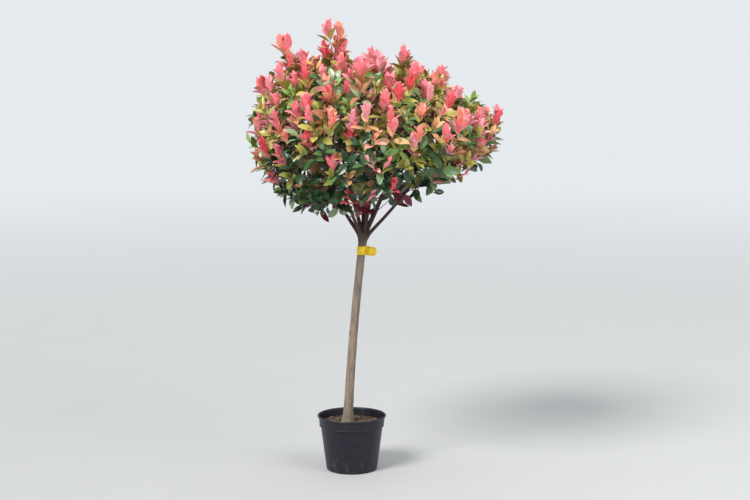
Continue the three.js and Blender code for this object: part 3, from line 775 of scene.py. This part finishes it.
boughs.data.materials.append(bark("young_bark", BOUGH_GRAIN))
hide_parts(*[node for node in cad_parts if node.startswith("bough")])
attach(boughs, "root")

# The shoots: each leaves its mass's stem, turns outwards and up, and divides into finer twigs that end all
# over the head. They're woody and brown. A twig in flush carries a new upright shoot, smooth and dark red.

SHOOTS = 89
INNER_SHOOTS = 9
INNER_REACH = 0.5
LOWEST_CLIMB = -62
OUTLINE_STEPS = 600
UPTURN = (0.1, 2.2)
RAGGED_DEPTH = 0.022
RAGGED_PACE = 2.7
SHOOT_LEAD = 0.5
SHOOT_SCATTER = 0.2
SHOOT_MARGIN = 0.06
SHOOT_BEND = 0.34
SHOOT_STEPS = 24
SHOOT_RADII = (0.0034, 0.0015)
TWIG_RADII = (0.0019, 0.0011)
CANDLE_RADII = (0.0014, 0.0008)
TWIG_SIDES = 7
TWIG_BEND = 0.42
TWIG_STEPS = 14
TWIG_JITTER = 0.010
TWIG_RAGGED = 0.024
TWIG_NODES = slice(3, 22, 3)
TURN_COST = 1.6
LEAST_TWIG = 0.03
LEAST_COST = 0.5
TWIG_LAYERS = [
    {"count": 340, "reach": 1.0, "short": 0.052},
    {"count": 175, "reach": 0.84, "short": 0.03},
    {"count": 105, "reach": 0.64, "short": 0.0},
]
SPIRE_SHARES = (0.1, 0.35, 0.6)
SPIRE_SHORT = 0.02
TWIG_SLACK = 0.006
GAPS = 22
GAP_REACH = 0.97
GAP_RADIUS = 0.062
GAP_CEILING = 0.62
CANDLE_LENGTHS = (0.040, 0.110)
CANDLE_POWER = 2.2
CANDLE_ROOM = 0.050
CANDLE_REACH = 0.140
SPRAY_REACH = 0.085
CANDLE_LIFT = 0.75
CANDLE_ASTRAY = 0.12
CANDLE_BEND = 0.4
CANDLE_STEPS = 10
FLUSH_RISE = 1.4
FLUSH_START = -0.36
FLUSH_RIGHT = 0.2
FLUSH_LIMITS = (0.04, 0.72)
FLUSH_INSIDE = 0.12
TURNING_RISE = 1.3
TURNING_START = -0.3
TURNING_LIMITS = (0.03, 0.75)
LONG_SHOOTS = [
    {"bearing": 184, "climb": 48, "beyond": 0.160},
    {"bearing": 215, "climb": 72, "beyond": 0.185},
    {"bearing": 300, "climb": 74, "beyond": 0.090},
    {"bearing": 118, "climb": 60, "beyond": 0.080},
    {"bearing": 35, "climb": 56, "beyond": 0.085},
    {"bearing": -8, "climb": 8, "beyond": 0.040},
]
STRAYS = [
    {"bearing": -85, "climb": -29, "leans": (-31, 33)},
    {"bearing": -92, "climb": -56, "leans": (-58, 42)},
    {"bearing": -155, "climb": -66, "leans": (-62,)},
    {"bearing": -20, "climb": -48, "leans": (66,)},
]
FORK_SPRAYS = [
    {"bearing": -80, "radius": 0.075, "height": 0.108},
    {"bearing": -28, "radius": 0.150, "height": 0.100},
    {"bearing": -146, "radius": 0.130, "height": 0.160},
    {"bearing": -156, "radius": 0.245, "height": 0.215},
    {"bearing": 95, "radius": 0.085, "height": 0.120},
    {"bearing": 35, "radius": 0.150, "height": 0.130},
    {"bearing": 150, "radius": 0.140, "height": 0.160},
]
FORK_LIMB_STEPS = slice(0, 48, 2)
STRAY_LENGTH = 0.078
STRAY_OUT = 0.018
STRAY_FORWARD = 0.3
STRAY_LIFT = 0.15
GOLDEN_ANGLE = 180 * (3 - math.sqrt(5))
GROWTH_SEED = 11
FLECK_TINT = 1.8
SHOOT_BROWN = (0.075, 0.04, 0.03)
TWIG_BROWN = (0.10, 0.035, 0.028)
CANDLE_RED = (0.30, 0.045, 0.04)
FLUSH, TURNING, SETTLED = range(3)
foliage_nodes = [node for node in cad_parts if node.startswith("foliage")]


def outline_at(climb, reach=1.0):
    """The head's outline, or a smaller one inside it: a superellipse, with one power above the waist and
    another below it, as distance from the axis and height."""
    lift = np.radians(climb)
    power = np.where(lift > 0, 2 / DOME_POWER, 2 / BOWL_POWER)
    rise = np.where(lift > 0, HEAD_RISE, -HEAD_DROP) * np.abs(np.sin(lift)) ** power
    return HEAD_RADIUS * reach * np.maximum(np.cos(lift), 0) ** power, HEAD_WAIST + reach * rise


def above_bowl(points, slack):
    """True where a point lies above the bowl that closes the head from below, or less than the slack outside
    it: a superellipse from the waist down."""
    away = points - head_base
    share = np.maximum(away[..., 2] - lift_at(away[..., 0], away[..., 2]), 0) / HEAD_WAIST
    radius = np.hypot(away[..., 0] - HEAD_OFFSET * share, away[..., 1])
    out = (radius / (HEAD_RADIUS + slack)) ** BOWL_POWER
    down = (HEAD_WAIST * np.maximum(1 - share, 0) / (HEAD_DROP + slack)) ** BOWL_POWER
    return (share > 1) | (out + down < 1)


def spread_over(count, reach):
    """Places over the outline that each stand for the same area of it, turned by the golden angle."""
    climb = np.linspace(LOWEST_CLIMB, 90, OUTLINE_STEPS)
    radius, height = outline_at(climb, reach)
    area = (radius[1:] * np.hypot(np.diff(radius), np.diff(height))).cumsum()
    ring = np.searchsorted(area, area[-1] * (np.arange(count) + 0.5) / count)
    return in_head(radius[ring], height[ring], GOLDEN_ANGLE * np.arange(count))


def height_share(places):
    """How high places are in the head: 0 at the knuckle and 1 at the top of its outline."""
    return (places[..., 2] - head_base[2]) / (HEAD_WAIST + HEAD_RISE)


def shoot_heading(end):
    """The way a shoot points at its end: out from the head's axis, and the more up the higher it is."""
    outward = (end - in_head(0, HEAD_WAIST, 0)) * [1, 1, 0]
    return unit(unit(outward) + UP * part_way(UPTURN, height_share(end)[:, None]))


def beyond_by(places, distance):
    """The places moved out along the heading of the shoots there."""
    return places + shoot_heading(places) * distance[:, None]


def arriving(start, end, bend, steps):
    """Curves that arrive at each end at the heading of the shoots there."""
    length = np.linalg.norm(end - start, axis=1, keepdims=True)
    return curve(start, end - shoot_heading(end) * bend * length, end, steps)


def vigour(places, inner, random):
    """Whether the growth that ends at each place is in flush, turning or settled. It is in flush the more
    often the higher it is and the further to the right, and seldom inside the head."""
    height = height_share(places)
    rightward = (places[:, 0] - head_base[0]) / HEAD_RADIUS
    flush = np.clip(FLUSH_START + FLUSH_RISE * height + FLUSH_RIGHT * rightward, *FLUSH_LIMITS)
    flush = np.where(inner, FLUSH_INSIDE * flush, flush)
    turning = np.clip(TURNING_START + TURNING_RISE * height, *TURNING_LIMITS)
    chance = random.uniform(0, 1, len(places))
    green = np.where(chance < flush + (1 - flush) * turning, TURNING, SETTLED)
    return np.where(chance < flush, FLUSH, green)


def outline_places(shoots):
    """Where shoots that are given by climb and bearing leave the head's outline."""
    return np.array([in_head(*outline_at(shoot["climb"]), shoot["bearing"]) for shoot in shoots])


def shoot_paths(random):
    """The shoots' routes, and their vigour. Most end where their tufts just reach the outline, some past it
    and some well inside. Each starts on the stem of the nearest mass and is bent to arrive at its heading."""
    beyond = [shoot["beyond"] for shoot in LONG_SHOOTS]
    places = np.concatenate([outline_places(LONG_SHOOTS), spread_over(SHOOTS, 1.0)])
    reach = np.concatenate([beyond, -RAGGED_DEPTH * np.sin(RAGGED_PACE * np.arange(SHOOTS))])
    state = vigour(places, False, random)
    state[: len(LONG_SHOOTS)] = FLUSH
    outer = beyond_by(places, reach - np.where(state == FLUSH, CANDLE_REACH, SPRAY_REACH))
    ends = np.concatenate([outer, spread_over(INNER_SHOOTS, INNER_REACH)])
    state = np.concatenate([state, np.full(INNER_SHOOTS, SETTLED)])
    mass = np.linalg.norm(ends[:, None] - hearts, axis=-1).argmin(axis=1)
    foot = mass_stems[mass, 0]
    chord = mass_stems[mass, -1] - foot
    level = ((ends - foot) * chord).sum(axis=1) / (chord**2).sum(axis=1) - SHOOT_LEAD
    share = level + SHOOT_SCATTER * random.uniform(0, 1, len(ends))
    step = np.clip(share, SHOOT_MARGIN, 1 - SHOOT_MARGIN) * (MASS_STEM_STEPS - 1)
    start = mass_stems[mass, np.round(step).astype(int)]
    return arriving(start, ends, SHOOT_BEND, SHOOT_STEPS), state


def twig_places(random):
    """Where the fine twigs' sprays reach to: three layers one inside another, but for gaps here and there in
    the head's lower part. Also tells how far short each twig stops, and whether it is an inner one."""
    feet = outline_places(LONG_SHOOTS)
    beyond = np.array([shoot["beyond"] for shoot in LONG_SHOOTS])
    spires = feet[:, None] + np.outer(beyond, SPIRE_SHARES)[..., None] * UP
    layers = [spread_over(layer["count"], layer["reach"]) for layer in TWIG_LAYERS]
    places = np.concatenate([spires.reshape(-1, 3), *layers])
    counts = [beyond.size * len(SPIRE_SHARES)] + [layer["count"] for layer in TWIG_LAYERS]
    short = np.repeat([SPIRE_SHORT] + [layer["short"] for layer in TWIG_LAYERS], counts)
    inner = np.repeat([False, False, True, True], counts)
    jitter = random.normal(0, TWIG_JITTER, places.shape)
    places = places + np.clip(jitter, -2 * TWIG_JITTER, 2 * TWIG_JITTER)
    short = short + TWIG_RAGGED * random.uniform(-1, 1, len(places))
    gaps = spread_over(GAPS, GAP_REACH)
    gaps = gaps[height_share(gaps) < GAP_CEILING]
    open_sky = np.linalg.norm(places[:, None] - gaps, axis=-1).min(axis=1) < GAP_RADIUS
    return places[~open_sky], short[~open_sky], inner[~open_sky]


def twig_paths(ends, shoots):
    """Each twig leaves the place on a shoot from which its way is short and near the shoot's own heading."""
    along, _, _ = across(shoots)
    places = shoots[:, TWIG_NODES].reshape(-1, 3)
    headings = along[:, TWIG_NODES].reshape(-1, 3)
    way = ends[:, None] - places
    reach = np.linalg.norm(way, axis=-1)
    astray = 1 - (way * headings).sum(axis=-1) / reach
    cost = reach * (1 + TURN_COST * astray) + LEAST_COST * (reach < LEAST_TWIG)
    return arriving(places[cost.argmin(axis=1)], ends, TWIG_BEND, TWIG_STEPS)


def candle_paths(carriers, random):
    """The new shoots: each goes on from the end of its carrier, and turns up."""
    along, _, _ = across(carriers)
    start, way = carriers[:, -1], along[:, -1]
    heading = unit(way + CANDLE_LIFT * UP + random.normal(0, CANDLE_ASTRAY, way.shape))
    length = part_way(CANDLE_LENGTHS, random.uniform(0, 1, (len(start), 1)) ** CANDLE_POWER)
    return curve(start, start + way * length * CANDLE_BEND, start + heading * length, CANDLE_STEPS)


def stray_paths(feet):
    """Thin shoots low on the head, one or two to a foot. Each leans left or right of upright by its own
    angle, and a little towards the side that the head is seen from."""
    start = np.repeat(feet, [len(stray["leans"]) for stray in STRAYS], axis=0)
    lean = np.radians(np.concatenate([stray["leans"] for stray in STRAYS]))
    way = unit(xyz(np.sin(lean), -STRAY_FORWARD, np.cos(lean)))
    tip = start + STRAY_LENGTH * unit(way + STRAY_LIFT * UP)
    return curve(start, start + STRAY_LENGTH / 2 * way, tip, CANDLE_STEPS)


growth = np.random.default_rng(GROWTH_SEED)
shoots, shoot_vigour = shoot_paths(growth)
places, short, inner = twig_places(growth)
twig_vigour = vigour(places, inner, growth)
twigs = twig_paths(beyond_by(places, -short - CANDLE_ROOM * (twig_vigour == FLUSH)), shoots)
kept_shoots, kept_twigs = (above_bowl(routes, TWIG_SLACK).all(axis=1) for routes in (shoots, twigs))
shoots, shoot_vigour = shoots[kept_shoots], shoot_vigour[kept_shoots]
twigs, twig_vigour = twigs[kept_twigs], twig_vigour[kept_twigs]
stray_feet = beyond_by(outline_places(STRAYS), np.full(len(STRAYS), STRAY_OUT))
stray_twigs = twig_paths(stray_feet, shoots)
strays = stray_paths(stray_feet)
fork_ends = np.array([in_head(spray["radius"], spray["height"], spray["bearing"]) for spray in FORK_SPRAYS])
fork_twigs = twig_paths(fork_ends, limbs[:, FORK_LIMB_STEPS])
candles = np.concatenate([
    candle_paths(shoots[shoot_vigour == FLUSH], growth),
    candle_paths(twigs[twig_vigour == FLUSH], growth),
])


def twig_bark(name, colour, roughness):
    """Smooth young bark, with faint paler flecks."""
    finish = Finish(name, Roughness=roughness, Specular_IOR_Level=0.4)
    paler = tuple(FLECK_TINT * part for part in colour)
    finish.set(Base_Color=finish.blend(finish.between(finish.noise(160, 3), 0.45, 0.7), colour, paler))
    return finish.material


for name, routes, radii, colour, roughness in (
    ("shoots", shoots, SHOOT_RADII, SHOOT_BROWN, 0.7),
    ("twigs", np.concatenate([twigs, stray_twigs, fork_twigs]), TWIG_RADII, TWIG_BROWN, 0.6),
    ("new_shoots", np.concatenate([candles, strays]), CANDLE_RADII, CANDLE_RED, 0.45),
):
    radii = np.broadcast_to(np.linspace(*radii, routes.shape[1]), routes.shape[:2])
    piece = tubes(name, routes, radii, TWIG_SIDES)
    piece.data.materials.append(twig_bark(name, colour, roughness))
    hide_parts(*foliage_nodes)
    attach(piece, "root")

# The leaves: leathery ovals with a keel along the midrib and a pointed tip, spiralling round each twig and
# closest at its end. New ones stand up in coral reds like a flame, and turn copper, olive and green in time.

LEAF_ROWS = np.array([0, 0.11, 0.22, 0.38, 0.56, 0.74, 0.9, 1.0])
LEAF_COLUMNS = np.array([-1, -0.55, 0, 0.55, 1])
LEAF_TURN = 2.4
AGE_POWER = 1.3
YOUNG_SHARE = 0.7
STALK_SHARE = 0.1
STALK_WIDTH = 0.035
LEAST_DROOP = 1e-4
BLADE_SKEW = 0.85
BLADE_POWER = 0.8
KEEL_CURVE = 6.0
RIPPLE = 0.1
RIPPLE_PACE = 9
SLANT_POWER = 0.7
SLANT_JITTER = 7
LENGTH_POWER = 0.6
FACE_LIFT = 0.9
FACE_JITTER = 0.12
TURN_JITTER = 0.2
KEEL_JITTER = 0.06
DROOP_JITTER = 0.15
DISTANCE_FACTORS = (0.9, 1.15)
SPRAY_FACTORS = (0.88, 1.14)
LENGTH_FACTORS = (0.92, 1.08)
WIDTH_FACTORS = (0.9, 1.1)
SPRAYS = {
    "candle": {
        "leaves": 13, "first": 0.001, "span": 0.074, "angle": (4, 40), "length": (0.043, 0.075),
        "width": 0.48, "keel": 0.65, "droop": 0.3, "sag": 0.0, "slack": 0.045,
    },
    "stray": {
        "leaves": 6, "first": 0.0, "span": 0.066, "angle": (3, 17), "length": (0.034, 0.058),
        "width": 0.34, "keel": 0.6, "droop": 0.15, "sag": 0.0, "slack": 0.14,
    },
    "turning": {
        "leaves": 9, "first": 0.001, "span": 0.085, "angle": (12, 68), "length": (0.046, 0.078),
        "width": 0.40, "keel": 0.5, "droop": 0.45, "sag": 0.12, "slack": 0.045,
    },
    "settled": {
        "leaves": 9, "first": 0.002, "span": 0.100, "angle": (28, 78), "length": (0.056, 0.084),
        "width": 0.45, "keel": 0.3, "droop": 0.6, "sag": 0.25, "slack": 0.045,
    },
    "fork": {
        "leaves": 7, "first": 0.001, "span": 0.040, "angle": (20, 75), "length": (0.044, 0.064),
        "width": 0.50, "keel": 0.3, "droop": 0.5, "sag": 0.0, "slack": 0.045,
    },
    "older": {
        "leaves": 6, "first": 0.008, "span": 0.105, "angle": (52, 80), "length": (0.070, 0.084),
        "width": 0.45, "keel": 0.3, "droop": 0.6, "sag": 0.2, "slack": 0.045,
    },
}
BARE_SHARE = 0.15
THINNING = 0.3
THINNING_FADE = 1.4
LEAF_MARGIN = 0.028
HIGH_START = 0.38
HIGH_FADE = 0.35
FORK_HEIGHT = 0.3
FORK_RADIUS = 0.27
FORK_RED_SHARE = 0.5
LEAF_COLOURS = {
    "coral": (0.93, 0.275, 0.315),
    "rose": (0.92, 0.400, 0.450),
    "scarlet": (0.83, 0.135, 0.165),
    "salmon": (0.89, 0.350, 0.270),
    "amber": (0.55, 0.300, 0.130),
    "copper": (0.40, 0.165, 0.075),
    "burgundy": (0.15, 0.010, 0.022),
    "straw": (0.44, 0.400, 0.095),
    "olive": (0.27, 0.250, 0.055),
    "fresh": (0.22, 0.330, 0.075),
    # The next kind, a pale grey-green, is partly the paler leaf undersides and partly a painted sky
    # reflection on glossy leaves.
    "sage": (0.24, 0.320, 0.160),
    "leaf_green": (0.085, 0.165, 0.050),
    "dark_green": (0.026, 0.062, 0.023),
}
RED_KINDS = ("coral", "rose", "scarlet", "salmon", "amber", "copper", "burgundy")
RED_ROUGHNESS = 0.42
GREEN_ROUGHNESS = 0.27
KIND_NAMES = list(LEAF_COLOURS)


def leaf_grids(root, along, upper, length, width, keel, droop, wave):
    """The points of many leaves at once, as (leaf, row, column, xyz). The midrib is an arc that bends down by
    the droop angle: at share t it has gone length * sin(droop t) / droop along, and down by
    length * (1 - cos(droop t)) / droop. Past the stalk, half the width is that of an oval: the sine of pi
    times the share to the skew, all to the blade power. The keel lifts the edges, and a wave ripples them."""
    side = np.cross(upper, along)
    share = LEAF_ROWS[None, :]
    bend = droop[:, None] + LEAST_DROOP
    turn = bend * share
    onward = length[:, None] * np.sin(turn) / bend
    down = length[:, None] * (1 - np.cos(turn)) / bend
    blade = np.clip((share - STALK_SHARE) / (1 - STALK_SHARE), 0, 1)
    oval = np.sin(np.pi * blade**BLADE_SKEW) ** BLADE_POWER
    half = (width / 2)[:, None] * np.maximum(oval, STALK_WIDTH)
    out = half[..., None] * LEAF_COLUMNS
    edge = np.abs(out)
    ripple = RIPPLE * out * np.sin(RIPPLE_PACE * share + wave[:, None])[..., None]
    lift = keel[:, None, None] * edge - KEEL_CURVE * edge**2 + ripple
    middle = root[:, None] + onward[..., None] * along[:, None] - down[..., None] * upper[:, None]
    slope = np.cos(turn)[..., None] * upper[:, None] + np.sin(turn)[..., None] * along[:, None]
    return middle[:, :, None] + out[..., None] * side[:, None, None] + lift[..., None] * slope[:, :, None]


def leaf_piece(name, grids):
    """One mesh of leaves from their grids. Face (i, j) joins row i to the next and column j to the next."""
    count, rows, columns, _ = grids.shape
    row, column = np.meshgrid(np.arange(rows - 1), np.arange(columns - 1), indexing="ij")
    corner = (row * columns + column).ravel()
    quads = np.stack([corner, corner + 1, corner + columns + 1, corner + columns], axis=-1)
    quads = np.arange(count)[:, None, None] * rows * columns + quads
    return mesh_piece(name, grids.reshape(-1, 3), quads.reshape(-1, 4))


def grown_leaves(routes, spray, random):
    """The leaves of one spray at the end of each route. Leaf i of n has the age i / (n - 1) to the age power,
    and with its age come its distance from the tip, its angle from the twig and its length. Gives the
    leaves' grids, the spray that each is in, and its place in the spray from 0 to 1."""
    along, side, over = across(routes)
    lengths = np.linalg.norm(np.diff(routes, axis=1), axis=-1).sum(axis=1)
    count, slots = len(routes), spray["leaves"]
    age = np.linspace(0, 1, slots) ** AGE_POWER
    distance = (spray["first"] + spray["span"] * age) * random.uniform(*DISTANCE_FACTORS, (count, 1))
    share = 1 - distance / lengths[:, None]
    thin = THINNING * np.clip(1 - THINNING_FADE * height_share(routes[:, -1]), 0, 1)
    present = (share > BARE_SHARE) & (random.uniform(0, 1, share.shape) > thin[:, None])
    step = np.clip(share, 0, 1) * (routes.shape[1] - 1)
    low = np.minimum(step.astype(int), routes.shape[1] - 2)
    part = (step - low)[..., None]
    place = np.arange(count)[:, None]
    root = routes[place, low] * (1 - part) + routes[place, low + 1] * part
    axis = along[place, low]
    turn = LEAF_TURN * np.arange(slots) + random.uniform(0, 2 * np.pi, (count, 1))
    turn = (turn + random.normal(0, TURN_JITTER, (count, slots)))[..., None]
    outward = np.sin(turn) * side[place, low] + np.cos(turn) * over[place, low]
    slant = part_way(spray["angle"], age**SLANT_POWER) + random.normal(0, SLANT_JITTER, (count, slots))
    slant = np.radians(slant)[..., None]
    heading = unit(outward * np.sin(slant) + axis * np.cos(slant) - UP * spray["sag"] * age[:, None])
    facing = unit(axis + FACE_LIFT * age[:, None] * UP + random.normal(0, FACE_JITTER, (count, slots, 3)))
    upper = square_to(facing, heading)
    length = part_way(spray["length"], age**LENGTH_POWER) * random.uniform(*SPRAY_FACTORS, (count, 1))
    length = length * random.uniform(*LENGTH_FACTORS, (count, slots))
    width = length * spray["width"] * random.uniform(*WIDTH_FACTORS, (count, slots))
    keel = spray["keel"] + random.normal(0, KEEL_JITTER, (count, slots))
    droop = spray["droop"] + random.normal(0, DROOP_JITTER, (count, slots))
    wave = random.uniform(0, 2 * np.pi, (count, slots))
    traits = (root, heading, upper, length, width, keel, droop, wave)
    order = np.broadcast_to(np.linspace(0, 1, slots), share.shape)
    member = np.broadcast_to(place, share.shape)
    return leaf_grids(*[trait[present] for trait in traits]), member[present], order[present]


def dealt(names, count, random):
    """A kind of leaf for each of so many sprays, dealt out from a list of names."""
    return random.choice([KIND_NAMES.index(name) for name in names.split()], count)


def tinted(spray, ends, member, order, random):
    """The kind of each leaf, from the two kinds dealt to its spray, for its younger and its older leaves."""
    count = len(ends)
    height = height_share(ends)
    high = random.uniform(0, 1, count) < np.clip((height - HIGH_START) / HIGH_FADE, 0, 1)
    by_fork = (height < FORK_HEIGHT) & (np.hypot(*(ends - head_base)[:, :2].T) < FORK_RADIUS)
    # Low in the head the settled sprays are dealt mostly dark green: partly older leaves, and partly painted
    # shade under the crown above.
    settled = np.where(
        high,
        dealt("olive olive straw fresh sage leaf_green leaf_green", count, random),
        dealt("sage leaf_green leaf_green" + 6 * " dark_green", count, random),
    )
    if spray == "fork":
        young = old = np.full(count, KIND_NAMES.index("burgundy"))
    elif spray in ("candle", "stray"):
        young = dealt("coral coral coral coral rose rose rose scarlet salmon", count, random)
        old = dealt("coral salmon amber straw olive", count, random)
    elif spray == "turning":
        young = np.where(
            high,
            dealt("copper amber straw straw olive fresh salmon", count, random),
            dealt("copper copper amber olive olive fresh straw", count, random),
        )
        old = settled
    elif spray == "settled":
        dark_red = by_fork & (random.uniform(0, 1, count) < FORK_RED_SHARE)
        young = old = np.where(dark_red, KIND_NAMES.index("burgundy"), settled)
    else:
        young = np.where(high, dealt("straw straw olive olive fresh amber", count, random), settled)
        old = settled
    return np.where(order < YOUNG_SHARE, young[member], old[member])


def leafy_routes(state):
    """The routes that carry leaves of one vigour: the twigs, and as many steps at the end of the shoots."""
    return np.concatenate([twigs[twig_vigour == state], shoots[shoot_vigour == state, -TWIG_STEPS:]])


grown = []
for spray, routes in (
    ("candle", candles),
    ("stray", strays),
    ("fork", fork_twigs),
    ("older", leafy_routes(FLUSH)),
    ("turning", leafy_routes(TURNING)),
    ("settled", leafy_routes(SETTLED)),
):
    leaves, member, order = grown_leaves(routes, SPRAYS[spray], growth)
    kinds = tinted(spray, routes[:, -1], member, order, growth)
    inside = above_bowl(leaves, SPRAYS[spray]["slack"]).all(axis=(1, 2))
    grown.append((leaves[inside], kinds[inside]))
leaves = np.concatenate([leaves for leaves, _ in grown])
kinds = np.concatenate([kinds for _, kinds in grown])
low_corner, high_corner = np.array(cad_box)
within = (leaves > low_corner - LEAF_MARGIN) & (leaves < high_corner + LEAF_MARGIN)
within = within.all(axis=(1, 2, 3))
leaves, kinds = leaves[within], kinds[within]
for order, (name, colour) in enumerate(LEAF_COLOURS.items()):
    piece = leaf_piece("leaves_" + name, leaves[kinds == order])
    roughness = RED_ROUGHNESS if name in RED_KINDS else GREEN_ROUGHNESS
    piece.data.materials.append(Finish("leaf_" + name, Base_Color=colour, Roughness=roughness).material)
    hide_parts(*foliage_nodes)
    "red_leaves" if name in RED_KINDS else "green_leaves"
    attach(piece, "root")

# The studio: a plain pale floor, soft light from above and both sides, and the camera at standing eye height
# where the plant is seen as it stands in its row.

FLOOR_HALF = 30.0
FLOOR_PALE = (0.42, 0.42, 0.415)
FLOOR_FAR = (0.505, 0.519, 0.531)
FLOOR_FADE = (3, 18)
EYE_HEIGHT = 1.68
EYE_DISTANCE = 6.2
PLANT_SHARE = 0.9
PICTURE_SHAPE = 500 / 750
SENSOR = 36.0
SUN_PLACE = (-2.6, -3.2, 4.8)
SUN_STRENGTH = 3.4
SUN_SPREAD = 22
FILL_PLACE = (3.2, -2.6, 3.8)
FILL_SIZE = 3.0
FILL_WATTS = 120
SKY = (0.88, 0.92, 0.96)
SKY_STRENGTH = 0.9

corners = FLOOR_HALF * np.array([[-1, -1, 0], [1, -1, 0], [1, 1, 0], [-1, 1, 0]])
floor = mesh_piece("floor", corners, np.array([[0, 1, 2, 3]]))
pale = Finish("pale_floor", Roughness=0.8)
near = pale.blend(pale.noise(3, 4), FLOOR_PALE, tuple(0.96 * part for part in FLOOR_PALE))
distance = pale.node("VectorMath", {"operation": "LENGTH"}, output="Value", Vector=pale.place())
pale.set(Base_Color=pale.blend(pale.between(distance, *FLOOR_FADE), near, FLOOR_FAR))
floor.data.materials.append(pale.material)


def aimed(item, place, target):
    """Puts a lamp or camera at a place, and turns it to look at a target."""
    item.location = place
    way = Vector(target) - Vector(place)
    item.rotation_euler = way.to_track_quat("-Z", "Y").to_euler()
    bpy.context.scene.collection.objects.link(item)


plant_foot, plant_top = cad_box
middle = ((plant_foot.x + plant_top.x) / 2, 0.0, plant_top.z / 2)
sun = bpy.data.lights.new("sun", "SUN")
sun.energy = SUN_STRENGTH
sun.angle = math.radians(SUN_SPREAD)
aimed(bpy.data.objects.new("sun", sun), SUN_PLACE, middle)
fill = bpy.data.lights.new("fill", "AREA")
fill.size = FILL_SIZE
fill.energy = FILL_WATTS
aimed(bpy.data.objects.new("fill", fill), FILL_PLACE, middle)

world = bpy.data.worlds.new("sky")
bpy.context.scene.world = world
world.use_nodes = True
sky = world.node_tree.nodes["Background"].inputs
sky["Color"].default_value = (*SKY, 1)
sky["Strength"].default_value = SKY_STRENGTH

camera = bpy.data.cameras.new("camera")
camera.sensor_width = SENSOR
camera.lens = SENSOR * PICTURE_SHAPE * PLANT_SHARE * EYE_DISTANCE / plant_top.z
eye = bpy.data.objects.new("camera", camera)
aimed(eye, (middle[0], -EYE_DISTANCE, EYE_HEIGHT), middle)
bpy.context.scene.camera = eye
bpy.context.scene.view_settings.view_transform = "Standard"
